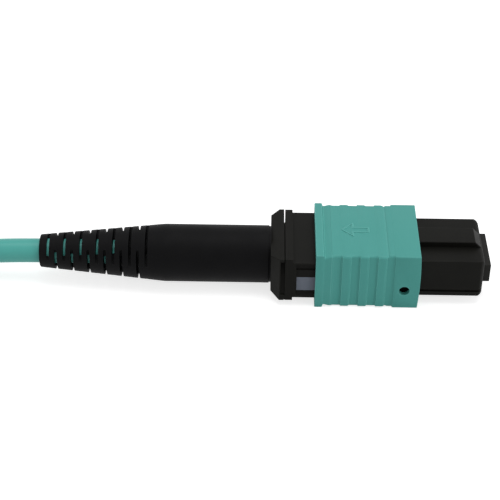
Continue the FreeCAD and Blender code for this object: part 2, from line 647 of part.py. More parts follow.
def make_sleeve():
    """The outer coupling sleeve: grip grooves, name panel, side holes, spring lugs."""
    body = new_body("outer_sleeve")
    block(body, "shell", S + "sleeve_rear", S + "sleeve_front",
          S + "sleeve_width", S + "sleeve_height")
    chamfer_long_edges(body, "sleeve", S + "sleeve_width", S + "sleeve_height")
    # the grip is set back between the rear lip and the front band
    for side in (-1, 1):
        block(body, f"grip_side_{side + 1}", S + "grip_rear", S + "grip_front",
              D + "grip_side_depth", S + "sleeve_height",
              y=f"{side} * ({S}sleeve_width - {D}grip_side_depth) / 2", cut=True)
        block(body, f"grip_top_{side + 1}", S + "grip_rear", S + "grip_front",
              S + "sleeve_width", D + "grip_top_depth",
              z=f"{side} * ({S}sleeve_height - {D}grip_top_depth) / 2", cut=True)
    floor = f"{S}sleeve_width / 2 - {D}grip_side_depth"
    groove = sketch_on(body, "XY_Plane", "groove_profile")
    for side in ("", "-1 * "):
        outline(groove, [
            (S + "grip_front", f"{side}({floor} + {D}grip_side_depth)"),
            (S + "grip_front", f"{side}({floor} - {D}groove_depth)"),
            (f"{S}grip_front - {D}groove_flat", f"{side}({floor} - {D}groove_depth)"),
            (f"{S}grip_front - {D}groove_length", f"{side}({floor})"),
            (f"{S}grip_front - {D}groove_length", f"{side}({floor} + {D}grip_side_depth)"),
        ])
    cut = body.newObject("PartDesign::Pocket", "outer_sleeve_groove")
    cut.Profile = groove
    cut.Midplane = True
    cut.setExpression("Length", S + "sleeve_height")
    doc.recompute()
    pattern_along_x(body, "grooves", cut, D + "groove_pitch", D + "groove_count", rearward=True)
    doc.recompute()
    block(body, "panel", f"{S}grip_rear + {D}panel_setback",
          f"{S}grip_rear + {D}panel_setback + {D}panel_length", D + "panel_width", D + "panel_depth",
          z=f"({S}sleeve_height - {D}panel_depth) / 2 - {D}grip_top_depth", cut=True)
    # opening for the adapter's latch arms in front, running fit on the body behind
    block(body, "mouth", S + "mouth_rear", S + "sleeve_front",
          S + "mouth_width", S + "mouth_height", cut=True)
    block(body, "bore", S + "sleeve_rear", S + "mouth_rear",
          S + "sleeve_bore_width", S + "sleeve_bore_height", cut=True)
    reach = f"({S}mouth_width / 2 - {D}body_width / 2 + {D}channel_depth - {D}lug_gap)"
    for side in (-1, 1):
        block(body, f"lug_{side + 1}", S + "lug_rear", S + "lug_front", f"{reach} + {D}lug_root",
              D + "lug_height", y=f"{side} * ({S}mouth_width - {reach} + {D}lug_root) / 2")
    hole = body.newObject("PartDesign::SubtractiveCylinder", "outer_sleeve_side_hole")
    hole.Placement = FreeCAD.Placement(Vector(), FreeCAD.Rotation(Vector(1, 0, 0), 90))
    hole.setExpression("Radius", D + "side_hole / 2")
    hole.setExpression("Height", S + "sleeve_width")
    hole.setExpression("Placement.Base.x", f"{S}sleeve_front - {D}side_hole_setback")
    hole.setExpression("Placement.Base.y", S + "sleeve_width / 2")
    hole.setExpression("Placement.Base.z", f"-{D}side_hole_drop")
    return body


# ---------------------------------------------------------------- strain-relief boot


def make_boot():
    """The strain-relief boot: barrel, taper and crosswise slots that leave bridges in turn."""
    body = new_body("strain_relief")
    profile = sketch_on(body, "XZ_Plane", "profile")
    outline(profile, [
        (S + "boot_front", f"{S}crimp_radius + {D}boot_seat_gap"),
        (S + "boot_front", f"{D}boot_radius - {D}boot_edge"),
        (f"{S}boot_front - {D}boot_edge", D + "boot_radius"),
        (S + "boot_shoulder", D + "boot_radius"),
        (f"{S}boot_tail + {D}boot_edge", D + "boot_tail_radius"),
        (S + "boot_tail", f"{D}boot_tail_radius - {D}boot_edge"),
        (S + "boot_tail", f"{S}cable_radius + {D}boot_cable_gap"),
        (S + "boot_seat_end", f"{S}cable_radius + {D}boot_cable_gap"),
        (S + "boot_seat_end", f"{S}crimp_radius + {D}boot_seat_gap"),
    ])
    turned = body.newObject("PartDesign::Revolution", "strain_relief_turned")
    turned.Profile = profile
    turned.ReferenceAxis = (plane_of(body, "X_Axis"), [""])
    turned.Angle = 360
    doc.recompute()
    kinds = [
        ("wide", "XZ_Plane", D + "side_bridge"),
        ("flat", "XY_Plane", D + "top_bridge"),
    ]
    for name, role, bridge in kinds:
        slot = sketch_on(body, role, f"{name}_slot", turn=D + "boot_clocking")
        back = f"{S}boot_tail + {D}{name}_slot_start"
        front = f"{back} + {D}slot_length"
        reach = f"{D}boot_radius + {D}cut_margin"
        for side in ("", "-1 * "):
            outline(slot, [
                (back, f"{side}({bridge})"), (front, f"{side}({bridge})"),
                (front, f"{side}({reach})"), (back, f"{side}({reach})"),
            ])
        cut = body.newObject("PartDesign::Pocket", f"strain_relief_{name}_cut")
        cut.Profile = slot
        cut.Midplane = True
        cut.setExpression("Length", f"2 * ({reach})")
        doc.recompute()
        pattern_along_x(body, f"{name}_slots", cut, D + "slot_pitch", f"{D}{name}_slots")
        doc.recompute()
    return body


def make_cable_end():
    """The cable's jacket inside the boot, from the crimp ring to the boot's tail."""
    body = new_body("cable_end")
    rod(body, "jacket", S + "boot_tail", S + "crimp_neck", S + "cable_radius")
    return body


# ---------------------------------------------------------------- cable, hank and tie


def make_cable_lead():
    """The cable's free stretch: out of the boot, down to the bench, on to the hank."""
    tail = station("boot_tail")
    down = station("hank_base") + station("cable_radius")
    drop = tail - dimension("lead_straight")
    start = station("hank_start")
    points = [
        Vector(tail, 0, 0),
        Vector(drop, 0, 0),
        Vector(drop - dimension("lead_drop"), 0, down),
        Vector(start, 0, down),
    ]
    path, radii = rounded_path(points)
    section = ring_of_corners(points[0], points[1] - points[0], station("cable_radius"), CORD_SIDES)
    shape = path.makePipeShell([section], True, False)
    expected = path.Length * Part.Face(section).Area
    print("cable lead radii", [round(radius, 1) for radius in radii])
    print("cable lead volume over section times length", round(shape.Volume / expected, 4))
    feature = doc.addObject("Part::Feature", "cable_lead")
    feature.Shape = shape
    feature.Label = "cable_lead"
    return feature


def rounded_path(points, share=0.45):
    """A wire of straight runs joined by tangent arcs, and the arcs' radii.

    Each arc takes that share of the shorter run beside its corner.
    """
    edges, radii = [], []
    here = points[0]
    for before, corner, after in zip(points, points[1:], points[2:]):
        inward, outward = (corner - before), (after - corner)
        reach = share * min(inward.Length, outward.Length)
        turn = inward.getAngle(outward)
        radius = reach / math.tan(turn / 2)
        enter = corner - inward.normalize() * reach
        leave = corner + outward.normalize() * reach
        middle_way = ((enter + leave) * 0.5 - corner).normalize()
        middle = corner + middle_way * (radius / math.cos(turn / 2) - radius)
        edges += [Part.LineSegment(here, enter).toShape(), Part.Arc(enter, middle, leave).toShape()]
        radii.append(radius)
        here = leave
    edges.append(Part.LineSegment(here, points[-1]).toShape())
    return Part.Wire(edges), radii


def make_hank():
    """The put-away cable as one solid: a flat racetrack of turns lying one on another."""
    body = new_body("cable_hank")
    across = sketch_on(body, "XY_Plane", "racetrack")
    across.setExpression("AttachmentOffset.Base.z", S + "hank_base")
    near, radius = -station("cable_radius"), station("hank_radius")
    start, end = station("hank_start"), station("hank_end")
    far = near + 2 * radius
    up, down = math.pi / 2, -math.pi / 2
    front_end = Part.ArcOfCircle(
        Part.Circle(Vector(start, near + radius, 0), Vector(0, 0, 1), radius), down, up
    )
    rear_end = Part.ArcOfCircle(
        Part.Circle(Vector(end, near + radius, 0), Vector(0, 0, 1), radius), up, down + 2 * math.pi
    )
    sides = [
        front_end,
        Part.LineSegment(Vector(start, far, 0), Vector(end, far, 0)),
        rear_end,
        Part.LineSegment(Vector(end, near, 0), Vector(start, near, 0)),
    ]
    for side in sides:
        across.addGeometry(side, False)
    for first, second in ((0, 1), (1, 2), (2, 3), (3, 0)):
        across.addConstraint(Sketcher.Constraint("Tangent", first, 2, second, 1))
    across.addConstraint(Sketcher.Constraint("Horizontal", 1))
    sizes = [
        (Sketcher.Constraint("Radius", 0, radius), S + "hank_radius"),
        (Sketcher.Constraint("DistanceX", -1, 1, 0, 3, start), S + "hank_start"),
        (Sketcher.Constraint("DistanceX", -1, 1, 2, 3, end), S + "hank_end"),
        (Sketcher.Constraint("DistanceY", -1, 1, 0, 3, near + radius),
         f"{S}hank_radius - {S}cable_radius"),
    ]
    for constraint, formula in sizes:
        across.setExpression(f"Constraints[{across.addConstraint(constraint)}]", formula)
    pad = body.newObject("PartDesign::Pad", "cable_hank_turns")
    pad.Profile = across
    pad.setExpression("Length", S + "hank_height")
    return body


def make_last_turn():
    """The hank's last turn: it leaves the top layer on the far side and rises to the far boot.

    Its first and last runs lie along the axis, so its ends meet the hank and the far boot square.
    """
    radius = station("cable_radius")
    far_side = 2 * (station("hank_radius") - radius)
    top = station("hank_base") + station("hank_height")
    low = Vector(station("far_tail"), far_side, top - radius)
    high = Vector(station("far_tail"), dimension("far_offset"), station("far_axis"))
    centre, across = (low + high) * 0.5, low - high
    tilt = FreeCAD.Rotation(Vector(1, 0, 0), math.degrees(math.atan2(across.z, across.y)))
    reach = across.Length / 2 / math.cos(math.pi / (2 * TURN_SIDES))
    points = [low]
    for i in range(TURN_SIDES):
        angle = math.pi * (0.5 - (i + 0.5) / TURN_SIDES)
        points.append(centre + tilt.multVec(Vector(math.cos(angle), math.sin(angle), 0) * reach))
    points.append(high)
    return wound_wire("cable_last_turn", points, 2 * radius, sides=CORD_SIDES)


def make_tie(place):
    """One flat tie round the hank: the front one, or the rear one under the far sleeve."""
    body = new_body(f"hank_tie_{place}")
    back = f"{S}{place}_tie - {D}tie_width / 2"
    front = f"{S}{place}_tie + {D}tie_width / 2"
    side = f"{S}hank_radius - {S}cable_radius"
    middle = f"{S}hank_base + {S}hank_height / 2"
    inside_width = f"2 * {S}hank_radius + 2 * {D}tie_gap"
    inside_height = f"{S}hank_height + 2 * {D}tie_gap"
    block(body, "band", back, front, f"{inside_width} + 2 * {D}tie_thickness",
          f"{inside_height} + 2 * {D}tie_thickness", y=side, z=middle)
    block(body, "inside", back, front, inside_width, inside_height, y=side, z=middle, cut=True)
    return body


def make_far_copy(piece):
    """The far connector's copy of a piece, turned half round and set on the hank.

    The far boot is copied as it is turned, before its slots are cut.
    """
    copy = doc.addObject("Part::Compound", f"far_{piece.Label}")
    plain = doc.getObject(f"{piece.Name}_turned")
    copy.Links = [plain or piece]
    copy.Label = f"far_{piece.Label}"
    copy.Placement = FreeCAD.Placement(Vector(), FreeCAD.Rotation(Vector(0, 0, 1), 180))
    copy.setExpression("Placement.Base.x", S + "far_face")
    copy.setExpression("Placement.Base.y", D + "far_offset")
    copy.setExpression("Placement.Base.z", S + "far_axis")
    return copy


# ---------------------------------------------------------------- assembly and export


connector = [
    make_ferrule(),
    make_spacer(),
    make_small_boot(),
    make_ferrule_spring(),
    make_ribbon(),
    make_housing(),
    make_back_body(),
    make_coupling_spring("right", -1),
    make_coupling_spring("left", 1),
    make_yarn(),
    make_crimp_ring(),
    make_sleeve(),
    make_boot(),
    make_cable_end(),
]
cable = [make_cable_lead(), make_hank(), make_last_turn(), make_tie("front"), make_tie("rear")]
doc.recompute()
sealed = {"aramid_yarn", "crimp_ring"}
far_connector = [make_far_copy(piece) for piece in connector if piece.Label not in sealed]
doc.recompute()

for item in doc.Objects:
    if "Invalid" in item.State or "Error" in item.State:
        raise RuntimeError(f"{item.Name} failed: {item.State} {item.getStatusString()}")

os.makedirs("parts", exist_ok=True)
triangles = 0
for piece in connector + cable + far_connector:
    shape = piece.Shape
    if shape.isNull() or not shape.isValid() or len(shape.Solids) != 1:
        raise RuntimeError(f"{piece.Label} is not one valid solid")
    shape.exportStep(f"parts/{piece.Label}.step")
    count = len(shape.tessellate(0.1)[1])
    triangles += count
    box = shape.BoundBox
    print(f"{piece.Label:26s} {count:6d} triangles  x {box.XMin:8.2f} {box.XMax:8.2f}"
          f"  y {box.YMin:6.2f} {box.YMax:6.2f}  z {box.ZMin:6.2f} {box.ZMax:6.2f}")
print("triangles in all", triangles)
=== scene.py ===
"""Looks of an mpo fibre connector on a round patch cable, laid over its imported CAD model.

Each sub-assembly is a class that keeps its sizes in millimetres, cuts its solids from profiles and
dresses them with a procedural finish. The near connector is built once, and its twin at the far end
of the cable takes copies of the same meshes.
"""

import json
import logging
import math
from collections.abc import Iterable, Sequence
from dataclasses import dataclass, field
from enum import Enum

import bmesh
import bpy
from mathutils import Euler, Matrix, Vector


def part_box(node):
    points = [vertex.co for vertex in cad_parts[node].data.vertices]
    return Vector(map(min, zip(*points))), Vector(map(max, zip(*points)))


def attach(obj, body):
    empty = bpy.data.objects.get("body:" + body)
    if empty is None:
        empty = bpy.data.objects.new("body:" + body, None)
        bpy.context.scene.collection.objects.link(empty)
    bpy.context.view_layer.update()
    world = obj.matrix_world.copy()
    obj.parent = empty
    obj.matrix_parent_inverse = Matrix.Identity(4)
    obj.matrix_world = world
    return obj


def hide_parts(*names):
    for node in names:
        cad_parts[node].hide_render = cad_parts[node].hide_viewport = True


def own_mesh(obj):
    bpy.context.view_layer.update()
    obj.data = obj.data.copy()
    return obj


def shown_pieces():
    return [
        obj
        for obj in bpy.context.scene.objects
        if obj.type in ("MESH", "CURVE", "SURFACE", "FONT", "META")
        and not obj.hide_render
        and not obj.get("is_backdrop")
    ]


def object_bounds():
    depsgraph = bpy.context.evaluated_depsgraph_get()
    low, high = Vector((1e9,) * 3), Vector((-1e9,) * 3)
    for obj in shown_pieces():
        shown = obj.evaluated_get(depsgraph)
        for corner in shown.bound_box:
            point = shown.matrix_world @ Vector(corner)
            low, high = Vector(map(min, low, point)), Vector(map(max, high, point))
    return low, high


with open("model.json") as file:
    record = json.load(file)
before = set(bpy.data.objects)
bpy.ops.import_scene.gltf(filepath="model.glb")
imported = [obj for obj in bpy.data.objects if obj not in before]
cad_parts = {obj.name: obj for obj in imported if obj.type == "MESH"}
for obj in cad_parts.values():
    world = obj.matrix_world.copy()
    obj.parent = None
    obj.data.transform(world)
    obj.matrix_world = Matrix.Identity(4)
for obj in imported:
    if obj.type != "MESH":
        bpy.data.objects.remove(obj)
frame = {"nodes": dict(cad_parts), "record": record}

CAD_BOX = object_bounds()
MM = 0.001
WELD = 0.002  # points nearer than this many millimetres are one
REACH = 1.0  # how far a cut goes past the face that it opens, in millimetres
OVERLAP = 0.2  # how far joined solids reach into each other, in millimetres

Point = tuple[float, float]
Corner = tuple[float, float, float]
Colour = tuple[int, int, int]

log = logging.getLogger("mpo_fibre_connector")


# ---------------------------------------------------------------- solids


class Axis(Enum):
    """The axis along which a solid is drawn out, by its place in a vector."""

    X = 0
    Y = 1
    Z = 2


class End(Enum):
    """The two ends of the cable, by the prefix of their CAD nodes and bodies."""

    NEAR = ""
    FAR = "far_"


def rounded(corners: Sequence[Corner], steps: int = 5) -> list[Point]:
    """An outline whose corners are rounded.

    Args:
        corners: Across, up and radius of each corner, in order.
        steps: Straight runs in each rounded corner.

    Returns:
        The outline's points, with an arc in place of each corner that has a radius.
    """
    points: list[Point] = []
    for i, (across, up, radius) in enumerate(corners):
        here = Vector((across, up))
        if radius <= 0:
            points.append((across, up))
            continue
        before = (Vector(corners[i - 1][:2]) - here).normalized()
        after = (Vector(corners[(i + 1) % len(corners)][:2]) - here).normalized()
        half = before.angle(after) / 2
        centre = here + (before + after).normalized() * (radius / math.sin(half))
        start = (here + before * (radius / math.tan(half)) - centre).normalized()
        end = (here + after * (radius / math.tan(half)) - centre).normalized()
        for k in range(steps + 1):
            points.append(tuple(centre + start.slerp(end, k / steps).normalized() * radius))
    return points


def rectangle(width: float, height: float, radius: float = 0.0, up: float = 0.0) -> list[Point]:
    """The outline of a rectangle round the axis, with rounded corners, raised by up."""
    half, tall = width / 2, height / 2
    return rounded([(-half, up - tall, radius), (half, up - tall, radius),
                    (half, up + tall, radius), (-half, up + tall, radius)])


def linked(name: str, data: bpy.types.ID) -> bpy.types.Object:
    """A new object of the scene that holds the data."""
    made = bpy.data.objects.new(name, data)
    bpy.context.scene.collection.objects.link(made)
    return made


class Solid:
    """A closed mesh in millimetres that is cut and softened before it becomes a piece."""

    def __init__(self, name: str, mesh: bpy.types.Mesh) -> None:
        """Wraps the mesh in an object of that name."""
        self.object = linked(name, mesh)

    @classmethod
    def from_faces(cls, name: str, points: Iterable[Sequence[float]],
                   faces: Iterable[Sequence[int]]) -> "Solid":
        """A solid from its points and faces, with the faces turned outwards."""
        mesh = bpy.data.meshes.new(name)
        mesh.from_pydata([tuple(p) for p in points], [], [tuple(f) for f in faces])
        work = bmesh.new()
        work.from_mesh(mesh)
        bmesh.ops.recalc_face_normals(work, faces=work.faces)
        work.to_mesh(mesh)
        work.free()
        return cls(name, mesh)

    @classmethod
    def prism(cls, name: str, outline: Sequence[Point], low: float, high: float,
              axis: Axis = Axis.X) -> "Solid":
        """A solid drawn out along an axis.

        Args:
            name: Name of the solid.
            outline: Closed outline in the two other axes, in their order.
            low: Where the solid starts on the axis.
            high: Where it ends.
            axis: The axis along which it is drawn out.

        Returns:
            The solid.
        """
        points = []
        for place in (low, high):
            for across, up in outline:
                point = [across, up]
                point.insert(axis.value, place)
                points.append(point)
        count = len(outline)
        sides = [(i, (i + 1) % count, count + (i + 1) % count, count + i) for i in range(count)]
        return cls.from_faces(name, points, [range(count), range(count, 2 * count)] + sides)

    @classmethod
    def loft(cls, name: str, sections: Sequence[tuple[float, Sequence[Point]]]) -> "Solid":
        """A solid along X through outlines that have the same number of points.

        Args:
            name: Name of the solid.
            sections: Place along X and outline of each section, in order.

        Returns:
            The solid, closed at its first and last section.
        """
        points, faces, count = [], [], len(sections[0][1])
        for x, outline in sections:
            points += [(x, across, up) for across, up in outline]
        for low in range(0, len(points) - count, count):
            for k in range(count):
                after = (k + 1) % count
                faces.append((low + k, low + after, low + count + after, low + count + k))
        faces += [range(count), range(len(points) - count, len(points))]
        return cls.from_faces(name, points, faces)

    @classmethod
    def turned(cls, name: str, profile: Sequence[Point], sides: int = 96) -> "Solid":
        """A ring turned about X from a closed profile of (x, radius) points."""
        points, faces, count = [], [], len(profile)
        for i in range(sides):
            angle = 2 * math.pi * i / sides
            points += [(x, r * math.cos(angle), r * math.sin(angle)) for x, r in profile]
        for i in range(sides):
            for k in range(count):
                near, far = i * count, (i + 1) % sides * count
                faces.append((near + k, near + (k + 1) % count, far + (k + 1) % count, far + k))
        return cls.from_faces(name, points, faces)

    @classmethod
    def bar(cls, name: str, radius: float, low: float, high: float, axis: Axis = Axis.X,
            at: Point = (0.0, 0.0), sides: int = 48) -> "Solid":
        """A round bar along an axis, through the point at in the two other axes."""
        turns = [2 * math.pi * i / sides for i in range(sides)]
        outline = [(at[0] + radius * math.cos(a), at[1] + radius * math.sin(a)) for a in turns]
        return cls.prism(name, outline, low, high, axis)

    def evaluated(self) -> bpy.types.Mesh:
        """A plain mesh of the object with its modifiers."""
        graph = bpy.context.evaluated_depsgraph_get()
        graph.update()
        return bpy.data.meshes.new_from_object(self.object.evaluated_get(graph))

    def bake(self) -> "Solid":
        """Turns the modifiers into plain mesh."""
        mesh = self.evaluated()
        old = self.object.data
        self.object.modifiers.clear()
        self.object.data = mesh
        bpy.data.meshes.remove(old)
        return self

    def combine(self, operation: str, others: Sequence["Solid"]) -> "Solid":
        """Cuts the others away from this solid, or joins them to it, and removes them."""
        for other in others:
            modifier = self.object.modifiers.new("combine", "BOOLEAN")
            modifier.operation = operation
            modifier.solver = "EXACT"
            modifier.object = other.object
        self.bake()
        for other in others:
            other.remove()
        return self

    def minus(self, *others: "Solid") -> "Solid":
        """This solid without the others."""
        return self.combine("DIFFERENCE", others)

    def plus(self, *others: "Solid") -> "Solid":
        """This solid with the others joined to it."""
        return self.combine("UNION", others)

    def softened(self, width: float, segments: int = 3, angle: float = 30.0) -> "Solid":
        """Rounds the edges that are sharper than the angle, in degrees, and smooths the shading."""
        work = bmesh.new()
        work.from_mesh(self.object.data)
        bmesh.ops.remove_doubles(work, verts=work.verts, dist=WELD)
        bmesh.ops.dissolve_degenerate(work, edges=work.edges, dist=WELD)
        work.to_mesh(self.object.data)
        work.free()
        self.object.data.shade_smooth()
        bevel = self.object.modifiers.new("bevel", "BEVEL")
        bevel.width = width
        bevel.segments = segments
        bevel.limit_method = "ANGLE"
        bevel.angle_limit = math.radians(angle)
        bevel.miter_outer = "MITER_ARC"
        weighted = self.object.modifiers.new("weighted", "WEIGHTED_NORMAL")
        weighted.keep_sharp = True
        return self.bake()

    def shaded(self, angle: float = 30.0) -> "Solid":
        """Smooths the shading where faces meet at less than the angle, in degrees."""
        self.object.data.shade_smooth()
        self.object.data.set_sharp_from_angle(angle=math.radians(angle))
        return self

    def remove(self) -> None:
        """Takes the solid out of the scene."""
        mesh = self.object.data
        bpy.data.objects.remove(self.object)
        bpy.data.meshes.remove(mesh)


# ---------------------------------------------------------------- node trees


class NodeCanvas:
    """A node tree under construction."""

    def __init__(self, tree: bpy.types.NodeTree) -> None:
        """Wraps the tree."""
        self.tree = tree

    def add(self, kind: str, inputs: dict | None = None, **settings: object) -> bpy.types.Node:
        """Adds a node.

        Args:
            kind: The node's type.
            inputs: Sockets by name or number, each with a value or with a socket to link from.
            settings: The node's own properties.

        Returns:
            The node.
        """
        node = self.tree.nodes.new(kind)
        for name, value in settings.items():
            setattr(node, name, value)
        for socket, value in (inputs or {}).items():
            if isinstance(value, bpy.types.NodeSocket):
                self.tree.links.new(value, node.inputs[socket])
            else:
                node.inputs[socket].default_value = value
        return node

    def math(self, operation: str, first: object, second: object = 0.0) -> bpy.types.NodeSocket:
        """The result of a Math node on two values or sockets."""
        return self.add("ShaderNodeMath", {0: first, 1: second}, operation=operation).outputs[0]

    def realized(self, laid: bpy.types.Node) -> bpy.types.NodeSocket:
        """The instances of a node as plain geometry."""
        return self.add("GeometryNodeRealizeInstances", {0: laid.outputs[0]}).outputs[0]

    def end(self, geometry: bpy.types.NodeSocket, material: bpy.types.NodeSocket) -> None:
        """Gives the geometry its material and sends it out of the tree."""
        dressed = self.add("GeometryNodeSetMaterial", {"Geometry": geometry, "Material": material})
        self.add("NodeGroupOutput", {0: dressed.outputs[0]})

    def shown(self) -> bpy.types.NodeSocket:
        """One for each ray that shows the background: straight, in gloss or through glass."""
        path = self.add("ShaderNodeLightPath").outputs
        seen = self.math("MAXIMUM", path["Is Camera Ray"], path["Is Glossy Ray"])
        return self.math("MAXIMUM", seen, path["Is Transmission Ray"])


def new_group(name: str, kind: str, inputs: dict, outputs: dict) -> bpy.types.NodeTree:
    """An empty node group with named sockets.

    Args:
        name: Name of the group.
        kind: ShaderNodeTree or GeometryNodeTree.
        inputs: Name of each input with its socket type and default, or None for no default.
        outputs: Name of each output with its socket type.

    Returns:
        The group.
    """
    group = bpy.data.node_groups.new(name, kind)
    for label, (socket, default) in inputs.items():
        item = group.interface.new_socket(label, in_out="INPUT", socket_type=socket)
        if default is not None:
            item.default_value = default
    for label, socket in outputs.items():
        group.interface.new_socket(label, in_out="OUTPUT", socket_type=socket)
    return group


def grain_group() -> bpy.types.NodeTree:
    """The fine spark-eroded grain of a moulded part, with slow changes of tone."""
    group = new_group("moulded_grain", "ShaderNodeTree",
                      {"Grain Size": ("NodeSocketFloat", 0.1),
                       "Cloud Size": ("NodeSocketFloat", 3.0)},
                      {"Height": "NodeSocketFloat", "Cloud": "NodeSocketFloat"})
    canvas = NodeCanvas(group)
    given = canvas.add("NodeGroupInput")
    place = canvas.add("ShaderNodeTexCoord").outputs["Object"]
    fine_scale = canvas.math("DIVIDE", 1 / MM, given.outputs["Grain Size"])
    cloud_scale = canvas.math("DIVIDE", 1 / MM, given.outputs["Cloud Size"])
    fine = canvas.add("ShaderNodeTexNoise", {"Vector": place, "Scale": fine_scale, "Detail": 2.0,
                                             "Roughness": 0.6})
    cloud = canvas.add("ShaderNodeTexNoise", {"Vector": place, "Scale": cloud_scale, "Detail": 3.0})
    canvas.add("NodeGroupOutput", {"Height": fine.outputs[0], "Cloud": cloud.outputs[0]})
    return group


def highlight_group() -> bpy.types.NodeTree:
    """A mask of outer edges, along which the finish's edge colour is mixed in as a painted
    highlight.
    """
    group = new_group("worn_edge", "ShaderNodeTree",
                      {"Radius": ("NodeSocketFloat", 0.15), "Gain": ("NodeSocketFloat", 4.0)},
                      {"Mask": "NodeSocketFloat"})
    canvas = NodeCanvas(group)
    given = canvas.add("NodeGroupInput")
    radius = canvas.math("MULTIPLY", given.outputs["Radius"], MM)
    bevel = canvas.add("ShaderNodeBevel", {"Radius": radius}, samples=4)
    normal = canvas.add("ShaderNodeNewGeometry").outputs["Normal"]
    same = canvas.add("ShaderNodeVectorMath", {0: bevel.outputs[0], 1: normal},
                      operation="DOT_PRODUCT").outputs["Value"]
    turned = canvas.math("SUBTRACT", 1.0, same)
    strong = canvas.math("MULTIPLY", turned, given.outputs["Gain"])
    mask = canvas.add("ShaderNodeClamp", {"Value": strong})
    canvas.add("NodeGroupOutput", {"Mask": mask.outputs[0]})
    return group


def linear(colour: Colour) -> tuple[float, float, float, float]:
    """A display colour from 0 to 255 as Blender's linear colour."""
    channels = [c / 255 for c in colour]
    bent = [c / 12.92 if c <= 0.04045 else ((c + 0.055) / 1.055) ** 2.4 for c in channels]
    return (*bent, 1.0)


@dataclass(frozen=True)
class Finish:
    """A moulded or drawn surface: its colour, gloss, grain and painted edge highlight. Sizes are in
    millimetres.
    """

    name: str
    slot: str
    colour: Colour
    tone: Colour
    # painted highlight: the lighter colour that the edge mask mixes in along convex edges
    edge: Colour
    roughness: float
    grain_size: float = 0.12
    grain_depth: float = 0.004
    cloud_size: float = 2.5
    highlight_radius: float = 0.12
    highlight_gain: float = 4.0
    metallic: float = 0.0
    specular: float = 0.5
    coat: float = 0.0

    def material(self, groups: dict[str, bpy.types.NodeTree]) -> bpy.types.Material:
        """The finish as a material.

        Args:
            groups: The shader node groups by name.

        Returns:
            The material.
        """
        material = bpy.data.materials.new(self.name)
        material.use_nodes = True
        canvas = NodeCanvas(material.node_tree)
        canvas.tree.nodes.clear()
        grain = canvas.add("ShaderNodeGroup", node_tree=groups["moulded_grain"])
        grain.inputs["Grain Size"].default_value = self.grain_size
        grain.inputs["Cloud Size"].default_value = self.cloud_size
        # the edge mask mixes the edge colour into the body colour as a painted highlight
        highlight = canvas.add("ShaderNodeGroup", node_tree=groups["worn_edge"])
        highlight.inputs["Radius"].default_value = self.highlight_radius
        highlight.inputs["Gain"].default_value = self.highlight_gain
        body = canvas.add("ShaderNodeMix", {0: grain.outputs["Cloud"], 6: linear(self.colour),
                                            7: linear(self.tone)}, data_type="RGBA")
        coloured = canvas.add("ShaderNodeMix", {0: highlight.outputs["Mask"], 6: body.outputs[2],
                                                7: linear(self.edge)}, data_type="RGBA")
        rough = canvas.add("ShaderNodeMapRange", {"Value": grain.outputs["Cloud"],
                                                  "To Min": self.roughness * 0.85,
                                                  "To Max": self.roughness * 1.15})
        bump = canvas.add("ShaderNodeBump", {"Height": self.height(canvas, grain),
                                             "Distance": self.grain_depth * MM, "Strength": 1.0})
        shader = canvas.add("ShaderNodeBsdfPrincipled", {
            "Base Color": coloured.outputs[2], "Roughness": rough.outputs[0],
            "Metallic": self.metallic, "Specular IOR Level": self.specular,
            "Coat Weight": self.coat, "Normal": bump.outputs[0],
        })
        canvas.add("ShaderNodeOutputMaterial", {"Surface": shader.outputs[0]})
        return material

    def height(self, canvas: NodeCanvas, grain: bpy.types.Node) -> bpy.types.NodeSocket:
        """The socket that raises the surface."""
        return grain.outputs["Height"]


# The third colour of each finish is its painted edge highlight. The sleeve's high gain paints light
# lines along its rib and panel edges.
AQUA = Finish("aqua_moulding", "sleeve", (86, 167, 159), (82, 163, 155), (116, 196, 188), 0.4,
              highlight_gain=12.0, specular=0.14)
BLACK = Finish("black_moulding", "housing", (23, 23, 20), (17, 17, 15), (34, 34, 31), 0.42,
               specular=0.06)
FERRULE = Finish("black_thermoset", "ferrule", (33, 33, 31), (27, 27, 25), (46, 45, 44), 0.4,
                 specular=0.09)
RUBBER = Finish("black_rubber", "boot", (17, 17, 18), (13, 13, 14), (24, 24, 25), 0.55, 0.2,
                0.006, specular=0.06)
JACKET = Finish("aqua_jacket", "cable", (88, 180, 171), (82, 174, 165), (94, 183, 173), 0.34, 0.3,
                specular=0.27)
STEEL = Finish("drawn_steel", "spring", (190, 190, 192), (170, 170, 172), (210, 210, 212), 0.3,
               metallic=1.0)
STAMPED = Finish("stamped_steel", "spacer", (175, 175, 176), (155, 155, 157), (200, 200, 200), 0.4,
                 metallic=1.0)
CRIMP = Finish("crimped_metal", "crimp", (200, 192, 180), (180, 172, 160), (215, 208, 198), 0.35,
               metallic=1.0)
RIBBON = Finish("coated_ribbon", "ribbon", (222, 216, 196), (212, 206, 186), (228, 222, 204), 0.3)
YARN = Finish("aramid_yarn", "yarn", (222, 190, 84), (205, 170, 66), (228, 200, 100), 0.6, 0.1,
              0.03)
MARK = Finish("white_mark", "housing", (122, 128, 140), (114, 120, 132), (128, 134, 146), 0.6,
              specular=0.11)
GLASS = Finish("fibre_end", "ribbon", (150, 156, 160), (140, 146, 150), (160, 166, 170), 0.15)


